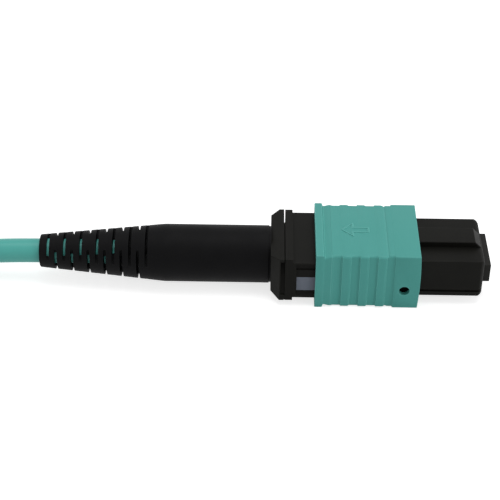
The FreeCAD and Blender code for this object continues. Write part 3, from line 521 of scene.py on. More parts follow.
@dataclass(frozen=True)
class Woven(Finish):
    """A woven tape, whose threads cross at a pitch in millimetres."""

    pitch: float = 0.5

    def height(self, canvas: NodeCanvas, grain: bpy.types.Node) -> bpy.types.NodeSocket:
        """The crossing threads, with the grain over them."""
        place = canvas.add("ShaderNodeTexCoord").outputs["Object"]
        parts = canvas.add("ShaderNodeSeparateXYZ", {0: place})
        along = canvas.math("ADD", parts.outputs[1], parts.outputs[2])
        turn = 2 * math.pi / (self.pitch * MM)
        weft = canvas.math("SINE", canvas.math("MULTIPLY", parts.outputs[0], turn))
        warp = canvas.math("SINE", canvas.math("MULTIPLY", along, turn))
        threads = canvas.math("MULTIPLY", weft, warp)
        return canvas.math("ADD", threads, grain.outputs["Height"])


TAPE = Woven("black_tape", "tie", (32, 32, 34), (24, 24, 26), (42, 42, 44), 0.8, 0.3, 0.05,
             specular=0.09)


class Workshop:
    """Turns finished solids into pieces of the model at either end of the cable."""

    def __init__(self) -> None:
        """Builds the shared node groups and reads where the far connector lies."""
        self.groups = {"moulded_grain": grain_group(), "worn_edge": highlight_group()}
        self.materials: dict[str, bpy.types.Material] = {}
        low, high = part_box("far_mt_ferrule")
        turn = Matrix.Rotation(math.pi, 4, "Z")
        place = Matrix.Translation((low[0], (low[1] + high[1]) / 2, (low[2] + high[2]) / 2))
        self.places = {End.NEAR: Matrix.Identity(4), End.FAR: place @ turn}

    def material(self, finish: Finish) -> bpy.types.Material:
        """The finish's material, built once."""
        if finish.name not in self.materials:
            self.materials[finish.name] = finish.material(self.groups)
        return self.materials[finish.name]

    def piece(self, solid: Solid, finish: Finish, body: str, node: str = "",
              ends: Sequence[End] = (End.NEAR, End.FAR)) -> list[bpy.types.Object]:
        """Places a solid as a piece at each of the ends.

        Args:
            solid: The solid, in millimetres in the near connector's place. It is used up.
            finish: Its finish.
            body: The near body that it rides on.
            node: The near CAD node that it stands for, if any.
            ends: The ends at which it is placed.

        Returns:
            The pieces, one for each end.
        """
        made = []
        for end in ends:
            mesh = solid.object.data.copy()
            mesh.transform(self.places[end] @ Matrix.Scale(MM, 4))
            mesh.materials.clear()
            mesh.materials.append(self.material(finish))
            name = f"{end.value}{solid.object.name}"
            mesh.name = name
            made.append((end, name, mesh))
        solid.remove()
        pieces = []
        for end, name, mesh in made:
            piece = linked(name, mesh)
            carrier = body if end is End.NEAR or body == "connector" else f"far_{body}"
            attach(piece, carrier)
            if node:
                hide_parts(f"{end.value}{node}")
            log.info("piece %s rides on %s with %d faces", name, carrier, len(mesh.polygons))
            pieces.append(piece)
        return pieces

    def dress(self, node: str, finish: Finish) -> None:
        """Gives a CAD node that stays the finish's material."""
        data = frame["nodes"][node].data
        if data.materials:
            for i in range(len(data.materials)):
                data.materials[i] = self.material(finish)
        else:
            data.materials.append(self.material(finish))
        log.info("node %s keeps its shape in %s", node, finish.name)


# ---------------------------------------------------------------- the connector's sub-assemblies


@dataclass
class Ferrule:
    """The moulded ferrule with its guide holes and the row of fibre ends."""

    width: float = 6.5
    height: float = 2.5
    length: float = 8.0
    shoulder: float = 2.0
    shoulder_width: float = 7.0
    shoulder_height: float = 3.0
    guide_pitch: float = 4.6
    guide_radius: float = 0.35
    guide_mouth: float = 0.1
    window: tuple[float, float, float] = (2.0, 3.0, 0.9)
    window_setback: float = 3.6
    window_corner: float = 0.25
    edge: float = 0.06
    fibres: int = 12
    fibre_pitch: float = 0.25
    fibre_radius: float = 0.0625

    def solid(self) -> Solid:
        """The ferrule's own body."""
        back = -self.length
        body = Solid.prism("mt_ferrule_body", rectangle(self.width, self.height, 0.12), back, 0.0)
        neck = rectangle(self.shoulder_width, self.shoulder_height, 0.15)
        body.plus(Solid.prism("shoulder", neck, back, back + self.shoulder))
        length, width, depth = self.window
        top = self.height / 2
        front, half, corner = -self.window_setback, width / 2, self.window_corner
        opening = rounded([(front - length, -half, corner), (front, -half, corner),
                           (front, half, corner), (front - length, half, corner)])
        cuts = [Solid.prism("window", opening, top - depth, top + depth, Axis.Z)]
        for side in (-1, 1):
            place = (side * self.guide_pitch / 2, 0.0)
            mouth = self.guide_radius + self.guide_mouth
            for name, radius, low in (("guide", self.guide_radius, back - REACH),
                                      ("mouth", mouth, -self.guide_mouth)):
                cuts.append(Solid.bar(name, radius, low, REACH, at=place, sides=40))
        return body.minus(*cuts).softened(self.edge, 2)

    def fibre_ends(self) -> Solid:
        """The polished ends of the fibres, a hair proud of the end face."""
        width = self.fibre_pitch * (self.fibres - 1)
        tree = new_group("fibre_row", "GeometryNodeTree", {
            "Geometry": ("NodeSocketGeometry", None), "Count": ("NodeSocketInt", self.fibres),
            "Width": ("NodeSocketFloat", width), "Radius": ("NodeSocketFloat", self.fibre_radius),
            "Material": ("NodeSocketMaterial", None),
        }, {"Geometry": "NodeSocketGeometry"})
        canvas = NodeCanvas(tree)
        given = canvas.add("NodeGroupInput")
        half = canvas.math("MULTIPLY", given.outputs["Width"], 0.5)
        start = canvas.add("ShaderNodeCombineXYZ", {1: canvas.math("MULTIPLY", half, -1.0)})
        end = canvas.add("ShaderNodeCombineXYZ", {1: half})
        row = canvas.add("GeometryNodeMeshLine", {
            "Count": given.outputs["Count"], "Start Location": start.outputs[0],
            "Offset": end.outputs[0],
        }, mode="END_POINTS")
        end_of = canvas.add("GeometryNodeMeshCylinder", {"Vertices": 20, "Depth": 0.04,
                                                         "Radius": given.outputs["Radius"]})
        laid = canvas.add("GeometryNodeInstanceOnPoints", {
            "Points": row.outputs[0], "Instance": end_of.outputs[0],
            "Rotation": Euler((0, math.pi / 2, 0)),
        })
        canvas.end(canvas.realized(laid), given.outputs["Material"])
        return grown("fibre_ends", tree, {})

    def make(self, shop: Workshop) -> None:
        """Builds the ferrule and its fibre ends at both ends of the cable."""
        shop.piece(self.solid(), FERRULE, "ferrule", "mt_ferrule")
        shop.piece(self.fibre_ends(), GLASS, "ferrule")


def grown(name: str, tree: bpy.types.NodeTree, values: dict[str, object],
          start: Solid | None = None) -> Solid:
    """Runs a Geometry Nodes tree and keeps its result as a plain solid.

    Args:
        name: Name of the solid.
        tree: The tree.
        values: Values for its named inputs, besides their defaults.
        start: The solid that goes in, if the tree changes one.

    Returns:
        The solid.
    """
    solid = start or Solid(name, bpy.data.meshes.new(name))
    modifier = solid.object.modifiers.new("nodes", "NODES")
    modifier.node_group = tree
    for item in tree.interface.items_tree:
        if item.in_out == "INPUT" and item.name in values:
            modifier[item.identifier] = values[item.name]
    return solid.bake()


@dataclass
class Housing:
    """The inner housing: nose with polarity key, body with its marked recess, and collar."""

    nose_front: float = -0.95
    nose_rear: float = -14.65
    nose_width: float = 8.9
    nose_height: float = 5.15
    nose_corner: float = 0.1
    nose_round: tuple[Point, ...] = (
        (0.5, 0.0), (0.34, 0.05), (0.16, 0.17), (0.04, 0.3), (0.0, 0.38))
    nose_flatness: float = 0.65
    key_width: float = 3.0
    key_height: float = 0.75
    key_setback: float = 0.2
    key_ramp: float = 0.75
    key_edge: float = 0.12
    rail_height: float = 0.62
    rail_groove: float = 0.34
    rail_depth: float = 0.2
    body_width: float = 9.2
    shoulder_front: float = -21.12
    shoulder_width: float = 10.4
    shoulder_height: float = 5.2
    shoulder_corner: float = 0.04
    collar_front: float = -23.9
    collar_rear: float = -24.81
    collar_width: float = 10.4
    collar_height: float = 6.15
    collar_corner: float = 0.12
    bore_width: float = 7.6
    bore_height: float = 4.2
    ferrule_gap: float = 0.05
    bore_corner: float = 0.3
    key_corner: float = 0.15
    mark_sunk: float = 0.012
    mark_proud: float = 0.02
    window_rear: float = -6.5
    bore_front: float = -6.0
    edge: float = 0.04
    recess_rear: float = -23.52
    recess_depth: float = 0.45
    groove_depth: float = 0.61
    groove_low: float = 1.38
    groove_slope: float = 0.5
    groove_high: float = 2.44
    recess_low: float = -2.0
    recess_high: float = 2.44
    recess_slope: float = 0.32
    mark_low: float = -1.79
    mark_high: float = 0.17
    mark_front: float = -21.15
    mark_rear: float = -23.42

    def nose(self) -> Solid:
        """The nose with its rounded front, its key and the grooves over its foot rails."""
        sections = [(self.nose_rear,
                     rectangle(self.nose_width, self.nose_height, self.nose_corner))]
        for back, inset in self.nose_round:
            outline = rectangle(self.nose_width - 2 * inset,
                                self.nose_height - 2 * inset * self.nose_flatness,
                                self.nose_corner + inset / 2)
            sections.append((self.nose_front - back, outline))
        nose = Solid.loft("inner_housing_shell", sections)
        top = self.nose_height / 2
        front = self.nose_front - self.key_setback
        profile = rounded([(self.nose_rear, 0.0, 0.0), (front, 0.0, 0.0), (front, top, 0.0),
                           (front - self.key_ramp, top + self.key_height, self.key_corner),
                           (self.nose_rear, top + self.key_height, 0.0)])
        half = self.key_width / 2
        key = Solid.prism("key", profile, -half, half, Axis.Y).softened(self.key_edge, 3)
        nose.plus(key)
        cuts = []
        for side in (-1, 1):
            middle = side * self.nose_width / 2
            level = self.rail_height - top
            outline = [(middle - self.rail_depth, level), (middle + self.rail_depth, level),
                       (middle + self.rail_depth, level + self.rail_groove),
                       (middle - self.rail_depth, level + self.rail_groove)]
            cuts.append(Solid.prism("rail", outline, self.nose_rear + 1, self.nose_front + REACH))
        return nose.minus(*cuts)

    def solid(self) -> Solid:
        """The whole housing."""
        housing = self.nose()
        body = rectangle(self.body_width, self.nose_height, self.shoulder_corner)
        shoulder = rectangle(self.shoulder_width, self.shoulder_height, self.shoulder_corner)
        collar = rectangle(self.collar_width, self.collar_height, self.collar_corner)
        housing.plus(
            Solid.prism("body", body, self.shoulder_front - OVERLAP, self.nose_rear + OVERLAP),
            Solid.prism("shoulder", shoulder, self.collar_front - OVERLAP, self.shoulder_front),
            Solid.prism("collar", collar, self.collar_rear, self.collar_front),
        )
        gap = 2 * self.ferrule_gap
        window = rectangle(Ferrule.width + gap, Ferrule.height + gap)
        cuts = [
            Solid.prism("window", window, self.window_rear, self.nose_front + REACH),
            Solid.prism("bore", rectangle(self.bore_width, self.bore_height, self.bore_corner),
                        self.collar_rear - REACH, self.bore_front),
        ]
        for side in (-1, 1):
            wall = side * self.shoulder_width / 2
            for name, depth, low, high, slope in (
                ("recess", self.recess_depth, self.recess_low, self.recess_high, self.recess_slope),
                ("groove", self.groove_depth, self.groove_low, self.groove_high, self.groove_slope),
            ):
                inner, outer = wall - side * depth, wall + side * depth
                outline = [(inner, low), (outer, low - 2 * slope), (outer, high), (inner, high)]
                cuts.append(Solid.prism(name, outline, self.recess_rear,
                                        self.shoulder_front + REACH))
        return housing.minus(*cuts).softened(self.edge, 3)

    def mark(self) -> Solid:
        """The printed polarity mark in the recess on the fibre-one side."""
        wall = -self.shoulder_width / 2 + self.recess_depth
        outline = [(self.mark_rear, self.mark_low), (self.mark_front, self.mark_low),
                   (self.mark_front, self.mark_high), (self.mark_rear, self.mark_high)]
        return Solid.prism("polarity_mark", outline, wall - self.mark_sunk,
                           wall + self.mark_proud, Axis.Y)

    def make(self, shop: Workshop) -> None:
        """Builds the housing and its mark at both ends of the cable."""
        shop.piece(self.solid(), BLACK, "connector", "inner_housing")
        shop.piece(self.mark(), MARK, "connector")


@dataclass
class BackBody:
    """The part that closes the housing: tube, collar with chamfered rear, crimp barrel."""

    front: float = -24.94
    rear: float = -26.55
    width: float = 10.4
    height: float = 6.15
    corner: float = 0.06
    chamfer: float = 1.05
    rear_top: float = 0.2
    rear_foot: float = 0.65
    notch_depth: float = 0.43
    notch_height: float = 4.9
    notch_rise: float = 0.25
    tube_front: float = -14.3
    tube_width: float = 6.6
    seat_width: float = 7.5
    tube_height: float = 4.1
    seat_front: float = -22.05
    web: tuple[Point, ...] = ((5.05, -2.3), (4.85, -1.5), (4.65, 0.3), (4.35, 1.35), (3.8, 2.05))
    sill_width: float = 10.3
    sill_foot: float = -3.0
    barrel_radius: float = 2.1
    barrel_rear: float = -32.05
    barrel_bore: float = 1.4
    passage: Point = (4.6, 2.0)
    passage_setback: float = 0.3
    sill_overlap: float = 0.1
    seat_overlap: float = 0.7
    tube_overlap: float = 0.6
    tube_corner: float = 0.2
    barrel_overlap: float = 0.5
    edge: float = 0.04

    def slit_wall(self) -> Solid:
        """The stepped wall that closes the lower part of the slit between the collars."""
        half = self.sill_width / 2
        right = [(half, self.sill_foot), (half, self.web[0][1]), *self.web]
        outline = right + [(-y, z) for y, z in reversed(right)]
        return Solid.prism("slit_wall", outline, self.front - self.notch_depth - self.sill_overlap,
                           Housing.collar_rear)

    def solid(self) -> Solid:
        """The whole back body."""
        full = rectangle(self.width, self.height, self.corner)
        small = rectangle(self.width - 2 * self.chamfer,
                          self.height - self.rear_top - self.rear_foot,
                          self.corner, (self.rear_foot - self.rear_top) / 2)
        body = Solid.loft("back_body_shell", [(self.rear, small), (self.rear + self.chamfer, full),
                                              (self.front, full)])
        cuts = []
        for side in (-1, 1):
            outline = rectangle(self.width - self.seat_width, self.notch_height)
            outline = [(y + side * self.width / 2, z + self.notch_rise) for y, z in outline]
            cuts.append(Solid.prism("notch", outline, self.front - self.notch_depth,
                                    self.front + REACH))
        body.minus(*cuts)
        body.plus(
            self.slit_wall(),
            Solid.prism("seat", rectangle(self.seat_width, self.tube_height, self.tube_corner),
                        self.front - self.seat_overlap, self.seat_front),
            Solid.prism("tube", rectangle(self.tube_width, self.tube_height, self.tube_corner),
                        self.front - self.tube_overlap, self.tube_front),
            Solid.bar("barrel", self.barrel_radius, self.barrel_rear,
                      self.rear + self.barrel_overlap),
        )
        body.minus(
            Solid.prism("passage", rectangle(*self.passage), self.front - self.passage_setback,
                        self.tube_front + REACH),
            Solid.bar("bore", self.barrel_bore, self.barrel_rear - REACH, self.front),
        )
        return body.softened(self.edge, 3)

    def make(self, shop: Workshop) -> None:
        """Builds the back body at both ends of the cable."""
        shop.piece(self.solid(), BLACK, "connector", "back_body")


@dataclass(frozen=True)
class Station:
    """A section of the sleeve: place, how far sides and wide faces are set back, corner radius."""

    x: float
    side: float
    top: float
    corner: float

    def towards(self, other: "Station", share: float, crowned: bool) -> "Station":
        """The section at a share of the way to another.

        Args:
            other: The section at the end of the way.
            share: Share of the way, from 0 to 1.
            crowned: Whether the change only grows steeper, instead of being eased at both ends.

        Returns:
            The section.
        """
        eased = share * share if crowned else share * share * (3 - 2 * share)
        return Station(self.x + (other.x - self.x) * share,
                       self.side + (other.side - self.side) * eased,
                       self.top + (other.top - self.top) * eased,
                       self.corner + (other.corner - self.corner) * eased)


@dataclass
class Sleeve:
    """The sliding outer sleeve: lip, ribbed grip, plain panel with an arrow, band, side holes."""

    front: float = -8.78
    front_bow: float = 0.17
    rear: float = -21.2
    width: float = 10.9
    height: float = 7.78
    rise_of_centre: float = 0.04
    end_edge: float = 0.05
    sharp: float = 0.06
    soft: float = 0.3
    band_corner: float = 0.16
    mouth_width: float = 9.6
    mouth_height: float = 6.8
    bore_width: float = 9.3
    bore_height: float = 5.35
    bore_corner: float = 0.15
    tail_width: float = 10.46
    tail_depth: float = 2.1
    mouth_rear: float = -15.95
    lip: float = -20.32
    lip_foot: float = -20.14
    slope_end: float = -19.3
    slope_inset: float = 0.08
    floor_inset: float = 0.19
    rib_inset: float = 0.01
    ribs: int = 3
    rib_length: float = 1.13
    rib_pitch: float = 2.125
    first_rib: float = -18.12
    rise: float = 0.08
    fall: float = 0.26
    panel_inset: float = 0.09
    lip_groove: float = 0.2
    lip_groove_width: float = 0.85
    panel_end: float = -12.62
    panel_slope: float = 0.2
    panel_groove: float = 0.05
    panel_groove_width: float = 0.1
    band_inset: float = 0.03
    band: float = -11.87
    band_rise: float = 0.15
    hole_radius: float = 0.65
    hole: Point = (-10.45, -1.2)
    arrow_tip: float = -18.1
    arrow_head: float = 1.5
    arrow_reach: float = 1.35
    arrow_shaft: float = 0.5
    arrow_length: float = 3.4
    arrow_stroke: float = 0.16
    arrow_rise: float = 0.08
    arrow_root: float = 0.1
    tip_share: float = 1.8
    reach_share: float = 1.6
    lip_inset: float = 0.02
    groove_inset: float = 0.05

    def stations(self) -> list[Station]:
        """The sections along the axis, from the lip at the rear to the front edge."""
        rows = [Station(self.rear, self.end_edge, self.end_edge, self.sharp),
                Station(self.rear + self.end_edge, 0.0, 0.0, self.sharp),
                Station(self.lip, 0.0, 0.0, self.sharp)]

        def change(x: float, side: float, top: float, corner: float, crowned: bool = False) -> None:
            """Adds a smooth change to a section."""
            start, goal = rows[-1], Station(x, side, top, corner)
            rows.extend(start.towards(goal, k / 4, crowned) for k in range(1, 5))

        panel, soft = self.panel_inset, self.soft
        change(self.lip_foot, self.lip_inset, panel + self.lip_groove, soft)
        change(self.lip_foot + self.lip_groove_width, self.groove_inset, panel, soft)
        rows.append(Station(self.slope_end, self.slope_inset, panel, soft))
        change(self.slope_end + self.fall, self.floor_inset, panel, soft, crowned=True)
        for i in range(self.ribs):
            start = self.first_rib + i * self.rib_pitch
            end = start + self.rib_length
            rows.append(Station(start, self.floor_inset, panel, soft))
            change(start + self.rise, self.rib_inset, panel, soft)
            rows.append(Station(end - self.fall, self.rib_inset, panel, soft))
            change(end, self.floor_inset, panel, soft, crowned=True)
        rows.append(Station(self.panel_end - self.panel_groove_width, self.floor_inset, panel,
                            soft))
        change(self.panel_end, self.floor_inset, panel + self.panel_groove, soft)
        inset = self.band_inset
        change(self.panel_end + self.panel_slope, self.floor_inset, inset, soft)
        rows.append(Station(self.band, self.floor_inset, inset, soft))
        change(self.band + self.band_rise, inset, inset, self.band_corner)
        rows.append(Station(self.front + 2 * self.front_bow, inset, inset, self.band_corner))
        return rows

    def arrow(self) -> Solid:
        """The outline of a plain arrow that points the way the sleeve is pulled."""
        def shape(inset: float) -> list[Point]:
            """The arrow's outline, set in by a stroke."""
            tip = self.arrow_tip + inset * self.tip_share
            neck = self.arrow_tip + self.arrow_head
            shaft, reach = self.arrow_shaft - inset, self.arrow_reach - inset * self.reach_share
            end = self.arrow_tip + self.arrow_length - inset
            return [(tip, 0.0), (neck - inset, -reach), (neck - inset, -shaft), (end, -shaft),
                    (end, shaft), (neck - inset, shaft), (neck - inset, reach)]

        face = self.rise_of_centre + self.height / 2 - self.panel_inset
        low, high = face - self.arrow_root, face + self.arrow_rise
        outer = Solid.prism("arrow", shape(0.0), low, high, Axis.Z)
        inside = shape(self.arrow_stroke)
        return outer.minus(Solid.prism("inside", inside, low - REACH, high + REACH, Axis.Z))

    def beyond_front(self) -> Solid:
        """What lies past the front face, which bows out a little between top and bottom."""
        half = self.height / 2
        shares = [k / 8 - 1 for k in range(17)]
        profile = [(self.front + self.front_bow * (1 - share * share), share * (half + 0.2))
                   for share in shares]
        profile += [(self.front + 2, half + 0.2), (self.front + 2, -half - 0.2)]
        return Solid.prism("beyond", profile, -self.width, self.width, Axis.Y)

    def solid(self) -> Solid:
        """The whole sleeve."""
        sections = [(row.x, rectangle(self.width - 2 * row.side, self.height - 2 * row.top,
                                      row.corner, self.rise_of_centre)) for row in self.stations()]
        sleeve = Solid.loft("outer_sleeve_shell", sections)
        sleeve.plus(self.arrow())
        mouth, bore, tail = (rectangle(width, height, self.bore_corner) for width, height in (
            (self.mouth_width, self.mouth_height), (self.bore_width, self.bore_height),
            (self.tail_width, self.bore_height)))
        return sleeve.minus(
            Solid.prism("mouth", mouth, self.mouth_rear, self.front + REACH),
            Solid.prism("bore", bore, self.rear - REACH, self.mouth_rear + 0.1),
            Solid.prism("tail", tail, self.rear - REACH, self.rear + self.tail_depth),
            Solid.bar("hole", self.hole_radius, -self.width, self.width, Axis.Y, self.hole),
            self.beyond_front(),
        ).shaded(40.0)

    def make(self, shop: Workshop) -> None:
        """Builds the sleeve at both ends of the cable."""
        shop.piece(self.solid(), AQUA, "sleeve", "outer_sleeve")


@dataclass
class StrainRelief:
    """The rubber boot: barrel, taper and crosswise slots that leave bridges in turn."""

    front: float = -26.5
    neck: float = -26.74
    neck_radius: float = 3.43
    shoulder: float = -39.52
    tail: float = -54.8
    radius: float = 3.53
    tail_radius: float = 2.01
    edge: float = 0.12
    seat_radius: float = 2.85
    seat_end: float = -35.82
    bore_radius: float = 1.6
    core_radius: float = 1.8
    core_end: float = -45.2
    slot_length: float = 0.36
    slot_pitch: float = 2.015
    side_start: float = 0.9
    side_slots: int = 7
    side_bridge: float = 0.42
    flat_start: float = 1.86
    flat_slots: int = 6
    flat_bridge: float = 0.45
    clocking: float = 22.0
    cutter_reach: float = 1.4
    shoulder_round: float = 6.0
    mouth_round: float = 0.1
    soft: float = 0.23
    soft_angle: float = 35.0

    def radius_at(self, x: float) -> float:
        """The boot's outer radius at a place along the axis."""
        share = (x - self.tail) / (self.shoulder - self.tail)
        return self.tail_radius + (self.radius - self.tail_radius) * min(1.0, max(0.0, share))

    def turned(self) -> Solid:
        """The boot before its slots are cut."""
        outer = rounded([
            (self.front, self.seat_radius, 0.0), (self.front, self.neck_radius, 0.0),
            (self.neck, self.neck_radius, 0.0), (self.neck, self.radius, self.edge),
            (self.shoulder, self.radius, self.shoulder_round),
            (self.tail, self.tail_radius, self.edge),
            (self.tail, self.bore_radius, self.mouth_round), (self.seat_end, self.bore_radius, 0.0),
            (self.seat_end, self.seat_radius, 0.0),
        ], 6)
        return Solid.turned("strain_relief_boot", outer, 112)

    def cutter(self, name: str, bridge: float) -> Solid:
        """Both halves of one slot for a boot of radius one, each side of the bridges."""
        half, reach = self.slot_length / 2, self.cutter_reach
        halves = [Solid.prism(label, [(-reach, foot), (reach, foot), (reach, top), (-reach, top)],
                              -half, half)
                  for label, foot, top in ((name, -reach, -bridge), ("half", bridge, reach))]
        return halves[0].plus(halves[1])

    def slot_tree(self) -> bpy.types.NodeTree:
        """The tree that cuts a row of slots, each scaled to the boot's radius at its place."""
        tree = new_group("slot_row", "GeometryNodeTree", {
            "Geometry": ("NodeSocketGeometry", None), "Cutter": ("NodeSocketObject", None),
            "Count": ("NodeSocketInt", 7), "First": ("NodeSocketFloat", 0.0),
            "Pitch": ("NodeSocketFloat", 2.0), "Radius": ("NodeSocketFloat", 2.0),
            "Growth": ("NodeSocketFloat", 0.1), "Turn": ("NodeSocketFloat", 0.0),
            "Material": ("NodeSocketMaterial", None),
        }, {"Geometry": "NodeSocketGeometry"})
        canvas = NodeCanvas(tree)
        given = canvas.add("NodeGroupInput")
        start = canvas.add("ShaderNodeCombineXYZ", {0: given.outputs["First"]})
        step = canvas.add("ShaderNodeCombineXYZ", {0: given.outputs["Pitch"]})
        row = canvas.add("GeometryNodeMeshLine", {
            "Count": given.outputs["Count"], "Start Location": start.outputs[0],
            "Offset": step.outputs[0],
        }, mode="OFFSET")
        index = canvas.add("GeometryNodeInputIndex").outputs[0]
        grown_by = canvas.math("MULTIPLY", canvas.math("MULTIPLY", index, given.outputs["Pitch"]),
                               given.outputs["Growth"])
        size = canvas.math("ADD", given.outputs["Radius"], grown_by)
        scale = canvas.add("ShaderNodeCombineXYZ", {0: 1.0, 1: size, 2: size})
        turn = canvas.add("ShaderNodeCombineXYZ", {0: given.outputs["Turn"]})
        cutter = canvas.add("GeometryNodeObjectInfo", {"Object": given.outputs["Cutter"]})
        laid = canvas.add("GeometryNodeInstanceOnPoints", {
            "Points": row.outputs[0], "Instance": cutter.outputs["Geometry"],
            "Rotation": turn.outputs[0], "Scale": scale.outputs[0],
        })
        cut = canvas.add("GeometryNodeMeshBoolean",
                         {0: given.outputs["Geometry"], 1: canvas.realized(laid)},
                         operation="DIFFERENCE", solver="EXACT")
        canvas.end(cut.outputs[0], given.outputs["Material"])
        return tree

    def solid(self) -> Solid:
        """The boot with both rows of slots."""
        boot, tree = self.turned(), self.slot_tree()
        growth = (self.radius - self.tail_radius) / (self.shoulder - self.tail)
        turn = math.radians(self.clocking)
        rows = [("side", self.side_start, self.side_slots, self.side_bridge, turn),
                ("flat", self.flat_start, self.flat_slots, self.flat_bridge, turn + math.pi / 2)]
        for name, start, count, bridge, angle in rows:
            cutter = self.cutter(f"{name}_slot", bridge)
            first = self.tail + start + self.slot_length / 2
            boot = grown(name, tree, {
                "Cutter": cutter.object, "Count": count, "First": first, "Pitch": self.slot_pitch,
                "Radius": self.radius_at(first), "Growth": growth, "Turn": angle,
            }, boot)
            cutter.remove()
        inner, outer = self.bore_radius, self.core_radius
        core = Solid.turned("core", [(self.core_end, inner), (self.seat_end, inner),
                                     (self.seat_end, outer), (self.core_end, outer)], 48)
        return boot.plus(core).softened(self.soft, 4, self.soft_angle)

    def make(self, shop: Workshop) -> None:
        """Builds the boot at both ends of the cable."""
        shop.piece(self.solid(), RUBBER, "connector", "strain_relief")


@dataclass
class Spring:
    """A kind of wound spring, built in the place of each CAD node of it that a joint deforms."""

    kind: str
    wire: float
    turns: int
    steps: int = 24
    sides: int = 10

    def solid(self, node: str) -> Solid:
        """The wire, wound in an oval as wide and as high as the CAD node is.

        Args:
            node: The CAD node that gives the spring's place and size.

        Returns:
            The wound wire with closed ends.
        """
        low, high = (Vector(corner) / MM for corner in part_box(node))
        middle, size = (low + high) / 2, high - low
        radius = (size.z - self.wire) / 2
        straight = max(0.0, (size.y - size.z) / 2)
        count = self.turns * self.steps
        pitch = (size.x - self.wire) / count
        points, faces = [], []
        for i in range(count + 1):
            angle = 2 * math.pi * (i + 0.5) / self.steps
            across, up = math.cos(angle), math.sin(angle)
            centre = Vector((low.x + self.wire / 2 + i * pitch,
                             middle.y + math.copysign(straight, across) + radius * across,
                             middle.z + radius * up))
            for k in range(self.sides):
                turn = 2 * math.pi * k / self.sides
                along, out = (f(turn) * self.wire / 2 for f in (math.sin, math.cos))
                points.append(centre + Vector((along, out * across, out * up)))
        for i in range(count):
            for k in range(self.sides):
                after = (k + 1) % self.sides
                row = i * self.sides
                faces.append((row + k, row + after, row + self.sides + after, row + self.sides + k))
        faces += [range(self.sides), range(len(points) - self.sides, len(points))]
        return Solid.from_faces(f"{node}_wire", points, faces).shaded(60.0)

    def make(self, shop: Workshop) -> None:
        """Builds the springs of this kind at the near end, one for each CAD node of it that a joint
        deforms, each with its own mesh.
        """
        for joint in frame["record"]["behaviour"]["joints"]:
            for row in joint.get("deforming_nodes", ()):
                if self.kind not in row["node"]:
                    continue
                coil = shop.piece(self.solid(row["node"]), STEEL, "connector", ends=(End.NEAR,))[0]
                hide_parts(row["node"])
                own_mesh(coil)


# ---------------------------------------------------------------- cable, hank and ties


@dataclass
class Lap:
    """One turn of the hank: where its runs start and end, its layers and its two loops."""

    near: Point
    far: Point
    layer: int
    rear_climb: int = 0
    front_climb: int = 0


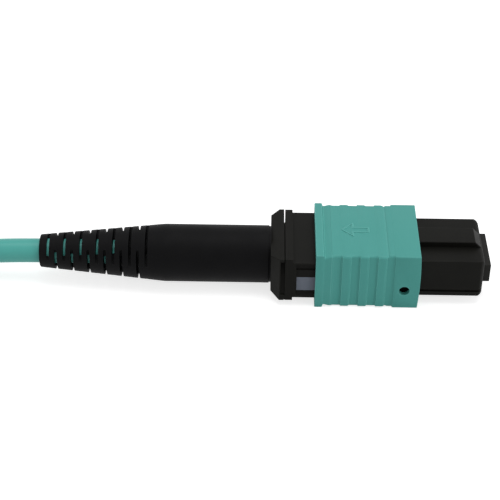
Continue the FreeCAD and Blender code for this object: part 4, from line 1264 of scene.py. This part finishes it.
@dataclass
class Cable:
    """The round cable from one boot to the other, with its spare length wound into a hank."""

    diameter: float = 3.0
    length: float = 1000.0
    tail: float = -54.62
    run_start: float = -82.62
    run_end: float = -130.62
    bench: float = -1.8
    straight: float = 7.5
    landing: float = 17.5
    loop_points: int = 8
    laps: list[Lap] = field(default_factory=lambda: [
        Lap((0, 0), (24, 21), 0), Lap((3, 3), (21, 21), 0, rear_climb=1),
        Lap((3, 0), (24, 24), 1, front_climb=1), Lap((0, 0), (24, 21), 2),
        Lap((3, 3), (21, 21), 2, rear_climb=1), Lap((3, 0), (24, 24), 3),
    ])
    far_tail: tuple[float, float, float] = (-83.62, 1.5, 13.15)

    def loop(self, x: float, start: float, end: float, low: float, high: float,
             rear: bool) -> list[Vector]:
        """The control points of one half turn.

        Args:
            x: Where the loop's centre lies along the hank.
            start: Side on which the loop starts.
            end: Side on which it ends.
            low: Height at its start.
            high: Height at its end.
            rear: Whether it bulges towards -X.

        Returns:
            Points just outside the half circle, which the spline touches between them.
        """
        step = math.pi / self.loop_points
        radius = abs(end - start) / 2 / math.cos(step / 2)
        centre, sign = (start + end) / 2, -1 if rear else 1
        points = []
        for i in range(self.loop_points):
            angle = (i + 0.5) * step
            side = centre + math.copysign(radius, start - centre) * math.cos(angle)
            height = low + (high - low) * (i + 0.5) / self.loop_points
            points.append(Vector((x + sign * radius * math.sin(angle), side, height)))
        return points

    def run(self, start: Vector, end: Vector) -> list[Vector]:
        """The control points of one straight run, without its ends."""
        return [start.lerp(end, share) for share in (0.12, 0.35, 0.65, 0.88)]

    def route(self) -> list[Vector]:
        """The control points of the cable's line, in millimetres."""
        points = [Vector((self.tail, 0, 0)), Vector((self.tail - self.straight, 0, 0)),
                  Vector((self.tail - self.landing, 0, self.bench)),
                  Vector((self.run_start, 0, self.bench))]
        for lap in self.laps:
            height = self.bench + lap.layer * self.diameter
            upper = height + lap.rear_climb * self.diameter
            top = upper + lap.front_climb * self.diameter
            points += self.run(Vector((self.run_start, lap.near[0], height)),
                               Vector((self.run_end, lap.near[1], height)))
            points += self.loop(self.run_end, lap.near[1], lap.far[0], height, upper, True)
            points += self.run(Vector((self.run_end, lap.far[0], upper)),
                               Vector((self.run_start, lap.far[1], upper)))
            if lap is not self.laps[-1]:
                after = self.laps[self.laps.index(lap) + 1]
                points += self.loop(self.run_start, lap.far[1], after.near[0], upper, top, False)
        end = Vector(self.far_tail)
        points.append(Vector((end.x - 1.5, self.laps[-1].far[1], upper)))
        points += self.loop(end.x, self.laps[-1].far[1], end.y, upper, end.z, False)
        points.append(end)
        return points

    def line(self) -> bpy.types.Object:
        """The cable as one open spline."""
        curve = bpy.data.curves.new("patch_cable", "CURVE")
        curve.dimensions = "3D"
        curve.bevel_depth = self.diameter / 2 * MM
        curve.bevel_resolution = 7
        curve.resolution_u = 10
        curve.use_fill_caps = True
        spline = curve.splines.new("NURBS")
        points = self.route()
        spline.points.add(len(points) - 1)
        for slot, point in zip(spline.points, points):
            slot.co = (*(point * MM), 1.0)
        spline.order_u = 3
        spline.use_endpoint_u = True
        return linked("patch_cable", curve)

    def make(self, shop: Workshop, carried: Sequence[bpy.types.Object]) -> None:
        cable = self.line()
        cable.data.materials.append(shop.material(JACKET))
        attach(cable, "connector")
        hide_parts("cable_lead", "cable_hank", "cable_last_turn")
        log.info("cable laid through %d points", len(cable.data.splines[0].points))


@dataclass
class Tie:
    """One woven tape round the hank."""

    node: str
    thickness: float = 0.5
    corner: float = 1.2
    edge: float = 0.12

    def solid(self) -> Solid:
        """The band, a closed loop of tape."""
        low, high = (Vector(corner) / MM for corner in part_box(self.node))
        width, height = high.y - low.y, high.z - low.z
        middle, level = (low.y + high.y) / 2, (low.z + high.z) / 2
        outer = rectangle(width, height, self.corner)
        inner = rectangle(width - 2 * self.thickness, height - 2 * self.thickness,
                          self.corner - self.thickness)
        band = Solid.prism(f"{self.node}_band", [(y + middle, z + level) for y, z in outer],
                           low.x, high.x)
        band.minus(Solid.prism("inside", [(y + middle, z + level) for y, z in inner],
                               low.x - REACH, high.x + REACH))
        return band.softened(self.edge, 2)

    def make(self, shop: Workshop) -> bpy.types.Object:
        """Builds the tie."""
        return shop.piece(self.solid(), TAPE, "connector", self.node, ends=(End.NEAR,))[0]


# ---------------------------------------------------------------- studio


@dataclass
class Studio:
    """The pale floor, soft lights and the camera. Lengths are in millimetres, angles in degrees."""

    target: tuple[float, float, float] = (-29.10, 0.0, 0.555)
    distance: float = 176.68
    elevation: float = 37.145
    yaw: float = -0.548
    roll: float = 0.54
    lens: float = 103.7
    key_power: float = 1.7
    fill_power: float = 0.75
    sky: float = 0.405
    floor_lift: float = 0.72
    floor_reach: float = 1.5  # in metres
    floor_tone: float = 0.7
    key_place: Corner = (0.02, 0.06, 0.60)  # in metres
    key_size: float = 0.40
    fill_place: Corner = (0.50, -0.32, 0.15)
    fill_size: float = 0.30

    def camera(self) -> None:
        """Sets the camera."""
        rise, swing, lean = (math.radians(a) for a in (self.elevation, self.yaw, self.roll))
        forward = Vector((math.sin(swing) * math.cos(rise), math.cos(swing) * math.cos(rise),
                          -math.sin(rise)))
        right = Vector((math.cos(swing), -math.sin(swing), 0.0))
        up = right.cross(forward)
        across = right * math.cos(lean) + up * math.sin(lean)
        upward = up * math.cos(lean) - right * math.sin(lean)
        place = (Vector(self.target) - forward * self.distance) * MM
        data = bpy.data.cameras.new("camera")
        data.lens = self.lens
        data.sensor_width = 36.0
        data.clip_start = 0.005
        data.clip_end = 20.0
        camera = linked("camera", data)
        turn = Matrix((across, upward, -forward)).transposed()
        camera.matrix_world = Matrix.Translation(place) @ turn.to_4x4()
        bpy.context.scene.camera = camera

    def lamp(self, name: str, place: Sequence[float], size: float, power: float) -> None:
        """A square soft light at a place in metres, aimed at the connector."""
        data = bpy.data.lights.new(name, "AREA")
        data.size = size
        data.energy = power
        lamp = linked(name, data)
        lamp.location = place
        aim = Vector(self.target) * MM - Vector(place)
        lamp.rotation_euler = aim.to_track_quat("-Z", "Y").to_euler()

    def floor(self) -> None:
        """The pale floor under the model, which looks white away from the shadow."""
        low = CAD_BOX[0][2]
        mesh = bpy.data.meshes.new("floor")
        reach, tone = self.floor_reach, self.floor_tone
        mesh.from_pydata([(-reach, -reach, low), (reach, -reach, low), (reach, reach, low),
                          (-reach, reach, low)], [], [(0, 1, 2, 3)])
        floor = linked("floor", mesh)
        material = bpy.data.materials.new("pale_floor")
        material.use_nodes = True
        canvas = NodeCanvas(material.node_tree)
        canvas.tree.nodes.clear()
        shader = canvas.add("ShaderNodeBsdfPrincipled", {"Base Color": (tone, tone, tone, 1.0),
                                                         "Roughness": 0.9,
                                                         "Specular IOR Level": 0.0})
        lift = canvas.math("MULTIPLY", canvas.shown(), self.floor_lift)
        glow = canvas.add("ShaderNodeEmission", {"Color": (1, 1, 1, 1), "Strength": lift})
        both = canvas.add("ShaderNodeAddShader", {0: shader.outputs[0], 1: glow.outputs[0]})
        canvas.add("ShaderNodeOutputMaterial", {"Surface": both.outputs[0]})
        mesh.materials.append(material)
        floor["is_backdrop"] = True

    def world(self) -> None:
        """An even sky that looks white, straight and in gloss."""
        world = bpy.data.worlds.new("studio")
        world.use_nodes = True
        canvas = NodeCanvas(world.node_tree)
        canvas.tree.nodes.clear()
        strength = canvas.add("ShaderNodeMix", {0: canvas.shown(), 2: self.sky, 3: 1.0},
                              data_type="FLOAT")
        sky = canvas.add("ShaderNodeBackground", {"Color": (1, 1, 1, 1),
                                                  "Strength": strength.outputs[0]})
        canvas.add("ShaderNodeOutputWorld", {"Surface": sky.outputs[0]})
        bpy.context.scene.world = world

    def make(self) -> None:
        """Sets up the whole studio."""
        self.camera()
        self.floor()
        self.world()
        self.lamp("key", self.key_place, self.key_size, self.key_power)
        self.lamp("fill", self.fill_place, self.fill_size, self.fill_power)
        bpy.context.scene.view_settings.view_transform = "Standard"


def main() -> None:
    """Builds the scene in order and reports each piece."""
    logging.basicConfig(level=logging.INFO, format="%(message)s")
    shop = Workshop()
    Studio().make()
    springs = (Spring("ferrule_spring", 0.45, 4), Spring("coupling_spring", 0.15, 5))
    for part in (Ferrule(), Housing(), BackBody(), Sleeve(), StrainRelief(), *springs):
        part.make(shop)
    kept = {
        "pin_spacer": STAMPED, "ferrule_boot": RUBBER, "fibre_ribbon": RIBBON,
        "aramid_yarn": YARN, "crimp_ring": CRIMP, "cable_end": JACKET,
    }
    for node, finish in kept.items():
        for end in End:
            if f"{end.value}{node}" in frame["nodes"]:
                shop.dress(f"{end.value}{node}", finish)
    carried = [Tie("hank_tie_front").make(shop), Tie("hank_tie_rear").make(shop)]
    carried += [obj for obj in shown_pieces() if obj.name.startswith(End.FAR.value)]
    Cable().make(shop, carried)


if __name__ == "__main__":
    main()
